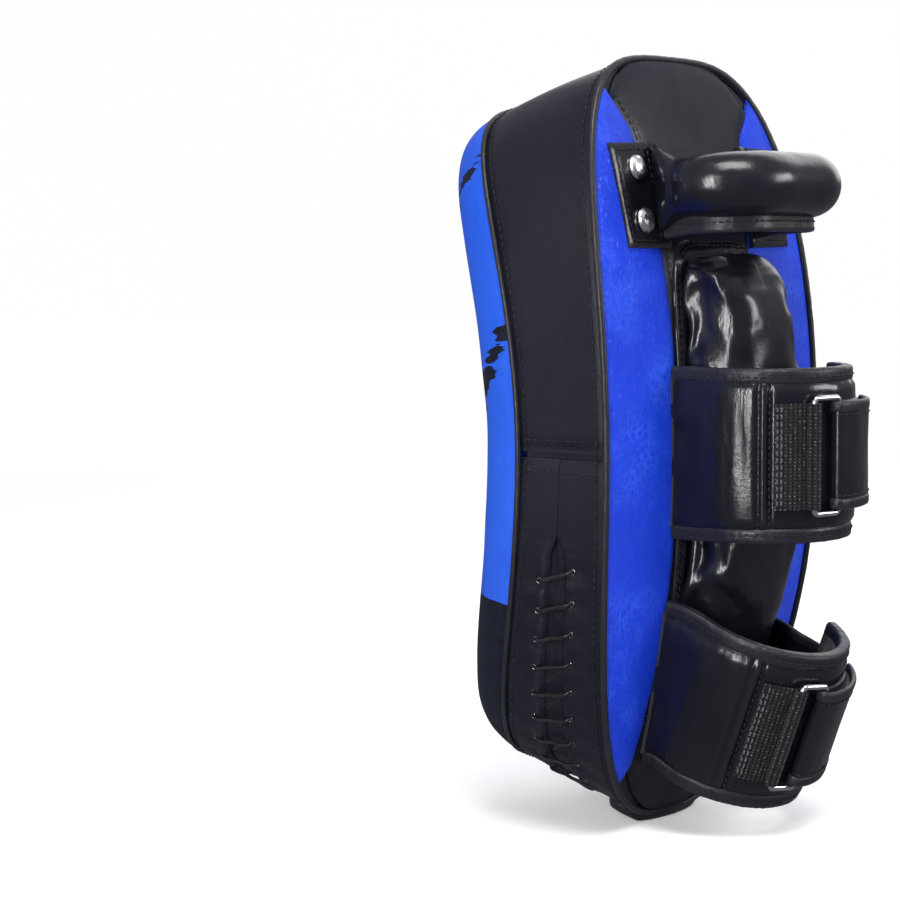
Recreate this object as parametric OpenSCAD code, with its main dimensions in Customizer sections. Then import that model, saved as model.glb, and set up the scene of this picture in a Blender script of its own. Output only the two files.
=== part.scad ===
// Thai kick pad: a bent foam block in a sewn cover, with a padded handle and two forearm loops
// +Z is up, the striking face looks along -Y, the handle and the loops are on the +Y side

/* [Pad body] */
// Width of the pad across the seams, mm
pad_w = 200; // [180:1:220]
// Length from the middle of the pad to its top seam, along the bend, mm
top_len = 205; // [190:1:220]
// Length from the middle of the pad to its bottom seam, along the bend, mm
bottom_len = 201; // [190:1:215]
// Squareness of the outline at the top corners
top_square = 3.5; // [2.6:0.1:4]
// Squareness of the outline at the bottom corners
bottom_square = 2.45; // [2.2:0.05:3]
// Radius that the rear face is bent to, mm
bend_r = 680; // [620:10:900]
// Depth of the side band at the middle of the pad, mm
band_mid = 55; // [50:1:60]
// Extra depth of the side band at the two ends, mm
band_grow = 24; // [16:1:26]
// Height of the striking face over the front seam, mm
crown_h = 38; // [34:1:42]

/* [Forearm cushion] */
// Half of the cushion's width at its base, mm
cushion_half = 34; // [30:1:34]
// Height of the cushion at its highest point, mm
cushion_h = 35; // [28:1:36]

/* [Forearm loops] */
// Half of the width across a loop, mm
loop_half = 46; // [45:0.5:48]
// Height of the loop's middle over the rear face, mm
loop_mid = 28; // [28:1:32]
// Rise of the loop above its middle, mm
loop_rise = 43; // [42:1:48]
// Height of the cuffs, mm
cuff_h = 84; // [80:1:86]
// Height of the closing straps, mm
strap_h = 53; // [50:1:53]
// Position of the upper loop along the pad, mm
upper_s = -1; // [-4:1:2]
// Position of the lower loop along the pad, mm
lower_s = -122; // [-124:1:-120]
// Droop of the lower loop from the pad's own normal, degrees
lower_droop = 10; // [6:1:12]

/* [Handle] */
// Diameter of the padded grip, mm
grip_d = 34; // [32:1:35]
// Height of the grip's middle over the rear face, mm
grip_v = 52; // [50:1:56]
// Half of the distance between the handle's two roots, mm
handle_half = 42; // [41:0.5:44]
// Position of the handle along the pad, mm
handle_s = 134; // [132:1:136]
// Droop of the handle from the pad's own normal, degrees
handle_droop = 9; // [6:1:11]
// Height of the sewn edge under the grip, mm
flange_h = 6.8; // [5:0.2:9.6]

/* [Hidden] */
half_w = pad_w / 2;
mid_x = -4;
foot_y = 40;
foot_z = 200.4;
deg = 180 / PI;
steps = 60;

// ---- the bent pad space: x across, s along the pad, t outwards from the rear face ----

function bent(p) = let(a = p[1] / bend_r * deg)
  [p[0], foot_y - bend_r + (bend_r + p[2]) * cos(a), foot_z + (bend_r + p[2]) * sin(a)];
function tilt_at(s) = s / bend_r * deg;
function band_depth(s) = band_mid + band_grow * pow(s / 200, 2);
function half_len(a) = sin(a) >= 0 ? top_len : bottom_len;
function squareness(a) = sin(a) >= 0 ? top_square : bottom_square;
function reach(a) = pow(pow(abs(cos(a)), squareness(a)) + pow(abs(sin(a)), squareness(a)),
                        -1 / squareness(a));
// A point of the outline in the direction a, moved in by d and scaled by k
function edge(a, d = 0, k = 1) =
  [(half_w - d) * k * reach(a) * cos(a), (half_len(a) - d) * k * reach(a) * sin(a)];
// Half of the pad's width at the length s, moved in by d
function half_at(s, d = 0) =
  let(n = s >= 0 ? top_square : bottom_square, h = (s >= 0 ? top_len : bottom_len) - d)
  (half_w - d) * pow(max(0, 1 - pow(abs(s) / h, n)), 1 / n);

function join(l) = [for (a = l) for (b = a) b];
function middle(r) = [for (i = [0:2]) let(v = [for (p = r) p[i]]) (v * [for (p = r) 1]) / len(r)];

// Triangles between rings of points; every ring has the same number of points
function walls(m, n) = [
  for (i = [0:m - 2]) for (j = [0:n - 1]) let(a = i * n + j, b = i * n + (j + 1) % n)
    for (f = [[a, b, b + n], [a, b + n, a + n]]) f
];
function closing(m, n) = [
  for (j = [0:n - 1]) let(a = (m - 1) * n + j, b = (m - 1) * n + (j + 1) % n, c = (j + 1) % n)
    for (f = [[a, b, c], [a, c, j]]) f
];
function end_caps(m, n) = let(c = m * n) [
  for (j = [0:n - 1]) let(k = (j + 1) % n)
    for (f = [[c, k, j], [c + 1, (m - 1) * n + j, (m - 1) * n + k]]) f
];
function turned(faces) = [for (f = faces) [f[0], f[2], f[1]]];

// A closed solid through a row of rings
module loft(rings, flip = false) {
  m = len(rings);
  n = len(rings[0]);
  f = concat(walls(m, n), end_caps(m, n));
  polyhedron(
    points = concat(join(rings), [middle(rings[0]), middle(rings[m - 1])]),
    faces = flip ? turned(f) : f, convexity = 8);
}

// A ring-shaped solid: the last ring joins the first
module hoop(rings, flip = false) {
  m = len(rings);
  n = len(rings[0]);
  f = concat(walls(m, n), closing(m, n));
  polyhedron(points = join(rings), faces = flip ? turned(f) : f, convexity = 8);
}

// One ring round the pad: inset d, scale k, and depth t worked out from the side band's depth
function pad_ring(d, k, front, extra) = [
  for (i = [0:steps - 1]) let(q = edge(360 * i / steps, d, k))
    bent([q[0], q[1], -(front ? band_depth(q[1]) : 0) - extra])
];

// ---- the pad body ----

// The curve of the striking face, as [inset, scale, height over the front seam]
crown = [[0.2, 1, 2], [0.8, 1, 8], [4, 1, 18], [10, 1, 27], [19, 1, 33], [30, 1, 36],
         [36, 0.8, crown_h], [38, 0.45, crown_h], [38, 0.1, crown_h]];
skin = 1.6;

// The scales of the rings inside a layer's flat side
inner_k = [0.08, 0.3, 0.5, 0.68, 0.82, 0.92];

module front_foam() {
  color("Gainsboro")
    loft(concat(
      [for (k = inner_k) pad_ring(5.2, k, true, 0.5)],
      [pad_ring(3, 1, true, 0.5)],
      [for (c = crown) pad_ring(c[0] + skin + 0.5, c[1], true, c[2] - skin - 0.5)]), true);
}

module front_cover() {
  color("RoyalBlue")
    loft(concat(
      [for (i = [len(crown) - 1:-1:0]) let(c = crown[i])
        pad_ring(c[0] + skin, c[1], true, c[2] - (i > 0 ? skin : 0))],
      [for (c = crown) pad_ring(c[0], c[1], true, c[2])]), true);
}

module core_foam() {
  color("WhiteSmoke")
    loft(concat(
      [for (k = inner_k) pad_ring(5.2, k, false, 6.7)],
      [for (t = [6.7, 40]) pad_ring(5.2, 1, false, t)],
      [for (k = concat([1], reversed(inner_k))) pad_ring(5.2, k, true, 0)]), true);
}

module rear_board() {
  color("Peru")
    loft(concat(
      [for (k = inner_k) pad_ring(5.2, k, false, 2.6)],
      [for (t = [2.6, 6.4]) pad_ring(5.2, 1, false, t)],
      [for (k = reversed(inner_k)) pad_ring(5.2, k, false, 6.4)]), true);
}

// One cross-section of the side band at the direction a, between two shares of its depth
function band_section(a, u0, u1, d0, d1, swell) = [
  for (c = [[d0, u0, 0], [d0 - swell, (u0 + u1) / 2, 0], [d0, u1, 0],
            [d1, u1, 0], [d1 - swell, (u0 + u1) / 2, 0], [d1, u0, 0]])
    let(q = edge(a, c[0]), g = band_depth(q[1]))
    bent([q[0], q[1], -(2.4 + (g - 4.8) * c[1])])
];

module side_band_upper() {
  color("DimGray")
    loft([for (i = [0:36]) band_section(0.6 + 178.8 * i / 36, 0, 1, 0.2, 2.4, 0.9)]);
}

// Half of the gap between the two halves of the laced band, as a share of its depth
function slit(a) = let(s = edge(a)[1]) 0.003 + 0.035 * min(1, max(0, (-s - 42) / 30));

module side_band_lower_front() {
  color("DimGray")
    loft([for (i = [0:36]) let(a = -0.6 - 178.8 * i / 36)
      band_section(a, 0.5 + slit(a), 1, 0.2, 2.4, 0.5)], true);
}

module side_band_lower_rear() {
  color("DimGray")
    loft([for (i = [0:36]) let(a = -0.6 - 178.8 * i / 36)
      band_section(a, 0, 0.5 - slit(a), 0.2, 2.4, 0.5)], true);
}

module lace_tongue() {
  color("Black")
    loft([for (i = [0:30]) band_section(-12 - 156 * i / 30, 0.3, 0.7, 2.8, 4.6, 0)], true);
}

// The lace crosses the slit from side to side all along the lower band
lace_turns = 19;
function lace_point(i) =
  let(a = -16 - 148 * i / (2 * lace_turns), q = edge(a, -2.3), g = band_depth(q[1]))
  bent([q[0], q[1], -g * (i % 2 == 0 ? 0.31 : 0.69)]);
function lace_ring(i) =
  let(p = lace_point(i), a = -16 - 148 * i / (2 * lace_turns), q = edge(a, -2.3),
      o = edge(a, -3.5), e = bent([o[0], o[1], -band_depth(o[1]) / 2])
        - bent([q[0], q[1], -band_depth(q[1]) / 2]), n = e / norm(e),
      w = (i == 0 ? lace_point(1) - lace_point(0)
        : i == 2 * lace_turns ? lace_point(i) - lace_point(i - 1)
        : lace_point(i + 1) - lace_point(i - 1)), u = cross(w / norm(w), n))
  [for (k = [0:7]) p + 1.2 * (n * cos(45 * k) + (u / norm(u)) * 2 * sin(45 * k))];

module lace() {
  color("Black")
    loft([for (i = [0:2 * lace_turns]) lace_ring(i)], true);
}

// Piping round a seam, a cord of radius r centred at the inset d
function piping_ring(a, d, r, front) = [
  for (k = [0:7]) let(q = edge(a, d + r * cos(45 * k)), p = edge(a, d))
    bent([q[0], q[1], -(front ? band_depth(p[1]) : 0.2) + r * sin(45 * k)])
];

module front_piping() {
  color("Black")
    hoop([for (i = [0:steps - 1]) piping_ring(360 * i / steps, 0.5, 1.5, true)]);
}

module rear_piping() {
  color("Black")
    hoop([for (i = [0:steps - 1]) piping_ring(360 * i / steps, 0.5, 1.8, false)]);
}

// The patch that the pad stands on, with its flat lower face at the origin
foot_half = 40;
foot_deep = 14;
module foot_patch() {
  color("Black")
    linear_extrude(height = 6)
      polygon([for (i = [0:47]) [foot_half * cos(7.5 * i), foot_deep * sin(7.5 * i)]]);
}

// ---- the rear covers ----

// Half of the width of the middle cover: narrow at the waist, wide at the ends
function spine_half(s) = 38 + 12 * pow(abs(s) / 160, 3) + 0.5 * max(0, abs(s) - 165);
function spine_x(s, side) =
  side > 0 ? min(mid_x + spine_half(s) + 2, half_at(s, 2.7))
           : -min(-mid_x + spine_half(s) - 2, half_at(s, 2.7));
// One cross-section of a flat cover between two edges
function cover_ring(s, xa, xb, t0 = -1.9, t1 = -0.1) =
  [for (c = [[xa, t1], [xb, t1], [xb, t0], [xa, t0]]) bent([c[0], s, c[1]])];

// The covers share one set of rows along the pad, from the bottom seam to the top seam
rows = 50;
cap_row = 6;
panel_rows = [3:48];
function row(i) = 3 - bottom_len + (top_len + bottom_len - 6) * i / rows;

module spine_cover() {
  color("DarkSlateGray")
    loft([for (i = [cap_row:rows]) let(s = row(i) + (i == cap_row ? 0.15 : 0))
      cover_ring(s, spine_x(s, -1), spine_x(s, 1))]);
}

module bottom_cap() {
  color("Black")
    loft([for (i = [0:cap_row]) let(s = row(i) - (i == cap_row ? 0.15 : 0))
      cover_ring(s, spine_x(s, -1), spine_x(s, 1))]);
}

module rear_panel_left() {
  color("Blue")
    loft([for (i = panel_rows) let(s = row(i))
      cover_ring(s, spine_x(s, 1) + 0.3, max(spine_x(s, 1) + 0.8, half_at(s, 2.7)))]);
}

module rear_panel_right() {
  color("Blue")
    loft([for (i = panel_rows) let(s = row(i))
      cover_ring(s, min(spine_x(s, -1) - 0.8, -half_at(s, 2.7)), spine_x(s, -1) - 0.3)]);
}

// ---- the forearm cushion ----

cushion_low = -158;
cushion_high = 102;
cushion_top = 45;
// Height of the cushion along the pad: highest above the middle, a steep upper end, a long fall below
function cushion_rise(s, h) =
  let(u = min(1, max(0, (s - cushion_top) / (cushion_high - cushion_top))),
      v = min(1, max(0, (cushion_top - s) / (cushion_top - cushion_low))))
  4 + (h - 4) * pow(1 - pow(u, 3.2), 0.5) * (1 - 0.32 * pow(v, 1.3)) * pow(1 - pow(v, 9), 0.5);
cushion_mid = (cushion_low + cushion_high) / 2;
cushion_reach = (cushion_high - cushion_low) / 2;
// The rows are closer at the two ends, where the cushion narrows; cut shortens it
function cushion_row(i, cut) = cushion_mid + (0.985 * cushion_reach - cut) * sin(90 * (i / 13 - 1));
function cushion_ring(s, w, h, t0) =
  let(r = cushion_rise(s, h), b = min(1, r / 20),
      k = w * pow(1 - pow(abs(s - cushion_mid) / cushion_reach, 7), 1 / 7)) [
  for (i = [0:16]) let(a = 180 * i / 16)
    bent([mid_x + k * (1 + 0.08 * b * sin(a)) * sign(cos(a)) * pow(abs(cos(a)), 0.42),
          s, t0 + r * pow(sin(a), 0.5)])
];

module cushion_foam() {
  color("Beige")
    loft([for (i = [0:26])
      cushion_ring(cushion_row(i, 3.5), cushion_half - 2.4, cushion_h - 2.6, 0.3)], true);
}

module cushion_cover() {
  color("Black")
    hoop_cover(
      [for (i = [0:26]) cushion_ring(cushion_row(i, 0), cushion_half, cushion_h, 0.2)],
      [for (i = [0:26])
        cushion_ring(cushion_row(i, 2), cushion_half - 1.8, cushion_h - 1.8, 0.2)]);
}

// A dome-shaped skin between an outer and an inner set of open arcs that share a flat base
module hoop_cover(outer, inner) {
  m = len(outer);
  n = len(outer[0]);
  o = m * n;
  c = 2 * m * n;
  skin_faces = [
    for (i = [0:m - 2]) for (j = [0:n - 2]) let(a = i * n + j, b = a + 1)
      for (f = [[a, b, b + n], [a, b + n, a + n],
                [o + a, o + b + n, o + b], [o + a, o + a + n, o + b + n]]) f];
  base_faces = [
    for (i = [0:m - 2]) for (s = [[0, 1], [n - 1, -1]]) let(a = i * n + s[0])
      for (f = s[1] > 0 ? [[a, a + n, o + a + n], [a, o + a + n, o + a]]
                        : [[a, o + a + n, a + n], [a, o + a, o + a + n]]) f];
  // Each end is an outer fan, an inner fan and a thin foot between them
  low = [for (j = [0:n - 2]) for (f = [[c, j + 1, j], [c + 2, o + j, o + j + 1]]) f];
  high = [for (j = [0:n - 2]) let(a = (m - 1) * n + j)
    for (f = [[c + 1, a, a + 1], [c + 3, o + a + 1, o + a]]) f];
  foot = [[c, 0, o], [c, o, c + 2], [n - 1, c, c + 2], [n - 1, c + 2, o + n - 1]];
  z = (m - 1) * n;
  top = [[c + 1, o + z, z], [c + 1, c + 3, o + z],
         [z + n - 1, c + 3, c + 1], [z + n - 1, o + z + n - 1, c + 3]];
  polyhedron(
    points = concat(join(outer), join(inner),
      [(outer[0][0] + outer[0][n - 1]) / 2, (outer[m - 1][0] + outer[m - 1][n - 1]) / 2,
       (inner[0][0] + inner[0][n - 1]) / 2, (inner[m - 1][0] + inner[m - 1][n - 1]) / 2]),
    faces = turned(concat(skin_faces, base_faces, low, high, foot, top)), convexity = 8);
}

// The flat sewn edge round the cushion
module cushion_flange() {
  w = cushion_half;
  color("Black")
    hoop([for (i = [0:47]) let(a = 360 * i / 48,
        r = pow(pow(abs(cos(a)), 7) + pow(abs(sin(a)), 7), -1 / 7), c = r * cos(a),
        e = r * sin(a), m = cushion_mid, h = cushion_reach)
      [for (q = [[0.6, 0.2], [0.6, 1.5], [6.0, 1.2], [6.0, 0.2]])
        bent([mid_x + (w + q[0]) * c, m + (h + q[0]) * e, q[1]])]]);
}

// ---- the handle ----

// A frame on the rear face: local x across, y outwards, z up along the pad
module on_rear(s, droop = 0) {
  translate(bent([0, s, 0]))
    rotate([tilt_at(s) - droop, 0, 0])
      children();
}

tab_in = 34;
tab_out = 80;
module handle_tab(side) {
  x0 = mid_x + side * (tab_in + 3);
  x1 = mid_x + side * tab_out;
  color("Black")
    loft([for (i = [0:6]) let(s = 103 + 54 * i / 6)
      cover_ring(s, min(x0, x1), max(x0, x1), 0.2, 2.8)]);
}

module handle_tab_left() {
  handle_tab(1);
}

module handle_tab_right() {
  handle_tab(-1);
}

rivet_x = 60;
rivet_s = [117, 144];
module handle_rivets() {
  color("Silver")
    for (side = [-1, 1]) for (s = rivet_s)
      translate([mid_x + side * rivet_x, 0, 0])
        on_rear(s)
          rotate([-90, 0, 0])
            rotate_extrude($fn = 40)
              polygon([[0, -7.5], [2, -7.5], [2, 3.1], [6.6, 3.1], [6.6, 3.8], [6.0, 4.8],
                       [4.4, 5.9], [2.2, 6.5], [0, 6.7]]);
}

module rivet_washers() {
  color("Silver")
    for (side = [-1, 1]) for (s = rivet_s)
      translate([mid_x + side * rivet_x, 0, 0])
        on_rear(s)
          rotate([90, 0, 0])
            translate([0, 0, 6.7])
              difference() {
                cylinder(r = 7, h = 1.2, $fn = 40);
                translate([0, 0, -1])
                  cylinder(r = 2, h = 3.2, $fn = 32);
              }
}

corner_r = 26;
leg_v = 20;
// A round bar of radius r that follows the handle's path
module handle_bar(r, inner = 0) {
  z = handle_half - corner_r;
  for (side = [-1, 1]) {
    translate([side * z, grip_v - corner_r, 0])
      rotate([0, 0, side > 0 ? 0 : 90])
        rotate_extrude(angle = 90, $fn = 72)
          translate([corner_r, 0])
            bar_section(r, inner);
    translate([side * handle_half, leg_v, 0])
      rotate([-90, 0, 0])
        linear_extrude(height = grip_v - corner_r - leg_v)
          bar_section(r, inner);
  }
  translate([-z, grip_v, 0])
    rotate([0, 90, 0])
      linear_extrude(height = 2 * z)
        bar_section(r, inner);
}

module bar_section(r, inner) {
  difference() {
    circle(r = r, $fn = 48);
    if (inner > 0)
      circle(r = inner, $fn = 48);
  }
}

// A flat strip that follows the handle's path, between two offsets from its middle
function handle_line(off, low) = let(z = handle_half - corner_r, v = grip_v - corner_r) concat(
  [[handle_half + off, low]],
  [for (i = [0:10]) let(a = 9 * i) [z + (corner_r + off) * cos(a), v + (corner_r + off) * sin(a)]],
  [for (i = [0:10]) let(a = 90 + 9 * i)
    [-z + (corner_r + off) * cos(a), v + (corner_r + off) * sin(a)]],
  [[-handle_half - off, low]]);
function reversed(l) = [for (i = [len(l) - 1:-1:0]) l[i]];

module handle_strip(h, off0, off1, low) {
  linear_extrude(height = h, center = true)
    polygon(concat(handle_line(off1, low), reversed(handle_line(off0, low))));
}

module at_handle() {
  translate([mid_x, 0, 0])
    on_rear(handle_s, handle_droop)
      children();
}

module handle_grip() {
  color("Black")
    at_handle()
      handle_bar(grip_d / 2, grip_d / 2 - 1.5);
}

module handle_foam() {
  color("Beige")
    at_handle()
      difference() {
        handle_bar(grip_d / 2 - 1.8);
        handle_strip(25, -1.7, 1.7, 0);
      }
}

// The webbing runs inside the grip, down to the two tabs; its ends are cut to let it swing
module handle_webbing() {
  color("DarkSlateGray")
    at_handle()
      difference() {
        handle_strip(24, -1.3, 1.3, 4.4);
        for (side = [-1, 1])
          translate([0, 3.2, 0])
            rotate([side > 0 ? 58 : -58, 0, 0])
              translate([-70, -20, side > 0 ? -20 : 0])
                cube([140, 20, 20]);
      }
}

// The sewn seam allowance along the underside of the grip
module handle_flange() {
  color("Black")
    at_handle()
      translate([0, 0, -grip_d / 2 - 0.5 - flange_h / 2])
        handle_strip(flange_h, -1.4, 1.4, 25);
}

// ---- the forearm loops ----

// A point of the loop's path: a straight leg below 0 and above 180 degrees, an arch between
function arch(q, off) =
  q < 0 ? [mid_x + loop_half + off, loop_mid + q * loop_mid / 30]
  : q > 180 ? [mid_x - loop_half - off, loop_mid - (q - 180) * loop_mid / 30]
  : [mid_x + (loop_half + off) * cos(q), loop_mid + (loop_rise + off) * sin(q)];
function arc_line(q0, q1, off, n) = [for (i = [0:n]) arch(q0 + (q1 - q0) * i / n, off)];
function strip_shape(q0, q1, off0, off1, n = 24) =
  concat(arc_line(q0, q1, off1, n), reversed(arc_line(q0, q1, off0, n)));

module strip(h, q0, q1, off0, off1, n = 24, mid = 0) {
  translate([0, 0, mid])
    linear_extrude(height = h, center = true)
      polygon(strip_shape(q0, q1, off0, off1, n));
}

leg_clear = 4.5;
// Cuts the feet of a loop to a V, so that it can swing up and down on the pad
module swing_room(down, up) {
  difference() {
    children();
    for (c = [[down, -1], [up, 1]])
      translate([-100, leg_clear, 0])
        rotate([c[1] > 0 ? -c[0] : c[0], 0, 0])
          translate([0, -60, c[1] > 0 ? -1 : -79])
            cube([200, 60, 80]);
    translate([-100, -10, -80])
      cube([200, 10 + leg_clear, 160]);
  }
}

cuff_q0 = -26;
cuff_q1 = 158;
band_off = 0.3;
bar_off = 4.2;
bar_r = 1.6;
bar_q = 62.5;
bar_gap = 16.5;
// The ring's two long bars, in the loop's plane
bar_a = arch(bar_q, bar_off);
bar_b = arch(83.3, bar_off);
bar_dir = (bar_b - bar_a) / norm(bar_b - bar_a);
bar_tip = bar_a + bar_dir * bar_gap;
bar_tilt = atan2(bar_dir[1], bar_dir[0]);

module cuff() {
  color("Black")
    strip(cuff_h, cuff_q0, cuff_q1, -1.5, 0);
}

module cuff_foam() {
  color("Beige")
    strip(cuff_h - 3, cuff_q0, cuff_q1 - 1.5, -5.3, -1.7);
}

module cuff_lining() {
  color("DimGray")
    strip(cuff_h, cuff_q0, cuff_q1, -7, -5.5);
}

module cuff_binding() {
  color("Black")
    for (z = [-1, 1])
      strip(1.6, cuff_q0, cuff_q1, -7.2, 0.2, 24, z * (cuff_h / 2 + 1));
}

// The elastic that holds the ring, with the sleeve that its fold makes round the bar
module anchor_band() {
  color("DarkSlateGray")
    difference() {
      union() {
        strip(strap_h + 1, 38, bar_q, band_off, band_off + 1.9, 8);
        translate([bar_a[0], bar_a[1], 0])
          cylinder(r = 3.7, h = strap_h + 1, center = true, $fn = 36);
      }
      translate([bar_a[0], bar_a[1], 0])
        cylinder(r = 2.1, h = strap_h + 5, center = true, $fn = 36);
    }
}

strap_q0 = 89;
module strap() {
  color("Black")
    strip(strap_h, strap_q0, 206, 0.4, 2.3);
}

module strap_binding() {
  color("Black")
    for (z = [-1, 1])
      strip(1.4, strap_q0, 206, 0.3, 2.5, 24, z * (strap_h / 2 + 0.9));
}

module loop_tape() {
  color("DimGray")
    strip(strap_h - 6, strap_q0 + 2, 156, 2.5, 3.5, 16);
}

module ring() {
  h = strap_h / 2 + 2.6;
  w = bar_gap;
  color("Silver")
    translate([bar_a[0], bar_a[1], 0])
      rotate([0, 0, bar_tilt]) {
        for (x = [0, w])
          translate([x, 0, 0])
            cylinder(r = bar_r, h = 2 * h - 5, center = true, $fn = 32);
        for (z = [-1, 1])
          translate([w / 2, 0, z * h])
            rotate([0, 90, 0])
              cylinder(r = bar_r, h = w - 5, center = true, $fn = 32);
        for (x = [0, 1]) for (z = [0, 1])
          translate([x > 0 ? w - 2.5 : 2.5, 0, (z > 0 ? 1 : -1) * (h - 2.5)])
            rotate([90, x > 0 ? (z > 0 ? 0 : 90) : (z > 0 ? -90 : 180), 0])
              rotate_extrude(angle = 90, $fn = 48)
                translate([2.5, 0])
                  circle(r = bar_r, $fn = 32);
      }
}

// The end of the strap that is folded back over the ring's outer bar
flap_q1 = 142;
module flap() {
  color("Black")
    difference() {
      union() {
        strip(strap_h, 83.4, flap_q1, 6.3, 7.9, 14);
        translate([bar_tip[0], bar_tip[1], 0])
          cylinder(r = 3.7, h = strap_h, center = true, $fn = 36);
      }
      translate([bar_tip[0], bar_tip[1], 0])
        cylinder(r = 2.1, h = strap_h + 4, center = true, $fn = 36);
    }
}

module hook_tape() {
  color("DimGray")
    strip(strap_h - 6, 92, flap_q1 - 2, 4.2, 6.1, 12);
}

// Where each loop's two ends are sewn down: a low tab at the cuff's end and one at the strap's
module loop_roots() {
  color("Black")
    for (s = [upper_s, lower_s])
      for (x = [[mid_x + loop_half - 5.5, mid_x + loop_half + 1.5],
                [mid_x - loop_half - 4, mid_x - loop_half + 1.5]])
        loft([for (i = [0:4]) let(p = s + (cuff_h - 8) * (i / 4 - 0.5))
          cover_ring(p, x[0], x[1], 0.2, 2.0)]);
}

module at_upper() {
  on_rear(upper_s)
    children();
}

module at_lower() {
  on_rear(lower_s, lower_droop)
    children();
}

module upper_cuff() { at_upper() swing_room(21, 21) cuff(); }
module upper_cuff_foam() { at_upper() swing_room(21, 21) cuff_foam(); }
module upper_cuff_lining() { at_upper() swing_room(21, 21) cuff_lining(); }
module upper_cuff_binding() { at_upper() swing_room(21, 21) cuff_binding(); }
module upper_anchor_band() { at_upper() anchor_band(); }
module upper_strap() { at_upper() swing_room(21, 21) strap(); }
module upper_strap_binding() { at_upper() swing_room(21, 21) strap_binding(); }
module upper_loop_tape() { at_upper() loop_tape(); }
module upper_ring() { at_upper() ring(); }
module upper_flap() { at_upper() flap(); }
module upper_hook_tape() { at_upper() hook_tape(); }
module lower_cuff() { at_lower() swing_room(21, 11) cuff(); }
module lower_cuff_foam() { at_lower() swing_room(21, 11) cuff_foam(); }
module lower_cuff_lining() { at_lower() swing_room(21, 11) cuff_lining(); }
module lower_cuff_binding() { at_lower() swing_room(21, 11) cuff_binding(); }
module lower_anchor_band() { at_lower() anchor_band(); }
module lower_strap() { at_lower() swing_room(21, 11) strap(); }
module lower_strap_binding() { at_lower() swing_room(21, 11) strap_binding(); }
module lower_loop_tape() { at_lower() loop_tape(); }
module lower_ring() { at_lower() ring(); }
module lower_flap() { at_lower() flap(); }
module lower_hook_tape() { at_lower() hook_tape(); }

front_cover();
front_foam();
core_foam();
rear_board();
side_band_upper();
side_band_lower_front();
side_band_lower_rear();
lace_tongue();
lace();
front_piping();
rear_piping();
foot_patch();
rear_panel_left();
rear_panel_right();
spine_cover();
bottom_cap();
cushion_cover();
cushion_foam();
cushion_flange();
handle_tab_left();
handle_tab_right();
handle_rivets();
rivet_washers();
loop_roots();
handle_grip();
handle_foam();
handle_webbing();
handle_flange();
upper_cuff();
upper_cuff_foam();
upper_cuff_lining();
upper_cuff_binding();
upper_anchor_band();
upper_strap();
upper_strap_binding();
upper_loop_tape();
upper_ring();
upper_flap();
upper_hook_tape();
lower_cuff();
lower_cuff_foam();
lower_cuff_lining();
lower_cuff_binding();
lower_anchor_band();
lower_strap();
lower_strap_binding();
lower_loop_tape();
lower_ring();
lower_flap();
lower_hook_tape();
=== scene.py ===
from functools import partialmethod
from math import sin, cos, pi, radians, atan2, sqrt, exp, hypot
import bpy
import bmesh
from mathutils import Vector, Matrix, noise


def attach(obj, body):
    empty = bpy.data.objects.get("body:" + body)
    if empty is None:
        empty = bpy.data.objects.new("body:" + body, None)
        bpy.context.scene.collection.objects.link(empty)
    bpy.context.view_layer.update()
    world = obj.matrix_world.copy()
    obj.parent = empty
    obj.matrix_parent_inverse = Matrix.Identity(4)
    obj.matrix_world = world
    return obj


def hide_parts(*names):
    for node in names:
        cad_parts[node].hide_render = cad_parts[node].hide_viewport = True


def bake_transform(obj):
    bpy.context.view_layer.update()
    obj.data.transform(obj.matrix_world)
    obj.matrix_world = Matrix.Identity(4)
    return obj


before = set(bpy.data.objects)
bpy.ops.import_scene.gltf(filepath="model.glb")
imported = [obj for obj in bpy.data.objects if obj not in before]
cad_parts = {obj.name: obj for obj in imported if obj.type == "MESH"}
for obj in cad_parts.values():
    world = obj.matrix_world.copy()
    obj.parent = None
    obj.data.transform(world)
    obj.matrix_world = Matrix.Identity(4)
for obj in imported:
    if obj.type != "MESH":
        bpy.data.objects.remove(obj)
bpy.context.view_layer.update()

MM = 0.001

# ---------------- camera at the photograph's angle
AZIMUTH, ELEVATION, ROLL = 129.23, 4.88, -0.36
CAMERA_AT, LENS, SENSOR = (1.0528, 0.7190, 0.3051), 95.4, 36


def toward(az, el):
    """The direction from the part to a viewer at this azimuth and elevation."""
    a, e = radians(az), radians(el)
    return Vector((sin(a) * cos(e), -cos(a) * cos(e), sin(e)))


def make_camera():
    cam = bpy.data.objects.new("camera", bpy.data.cameras.new("camera"))
    bpy.context.scene.collection.objects.link(cam)
    back, a, r = toward(AZIMUTH, ELEVATION), radians(AZIMUTH), radians(ROLL)
    side = Vector((cos(a), sin(a), 0))
    up = back.cross(side)
    m = Matrix((side * cos(r) + up * sin(r), up * cos(r) - side * sin(r), back)).transposed().to_4x4()
    m.translation = Vector(CAMERA_AT)
    cam.matrix_world = m
    cam.data.sensor_width, cam.data.lens = SENSOR, LENS
    cam.data.clip_start, cam.data.clip_end = 0.02, 50
    bpy.context.scene.camera = cam


make_camera()
bpy.context.scene.view_settings.view_transform = "Standard"

# ---------------- the bent pad space, as in part.scad (mm in, metres out)
BEND, FOOT_Y, FOOT_Z = 680.0, 40.0, 200.4
HALF_W, MID = 100.0, -4.0
UPPER, LOWER = (3.5, 205.0), (2.45, 201.0)   # the outline's two ends: how square, how long
REAR_INSET = 2.2                             # the rear covers stop this far inside the outline


def bent(x, s, t):
    a, r = s / BEND, BEND + t
    return Vector((x, FOOT_Y - BEND + r * cos(a), FOOT_Z + r * sin(a))) * MM


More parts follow.
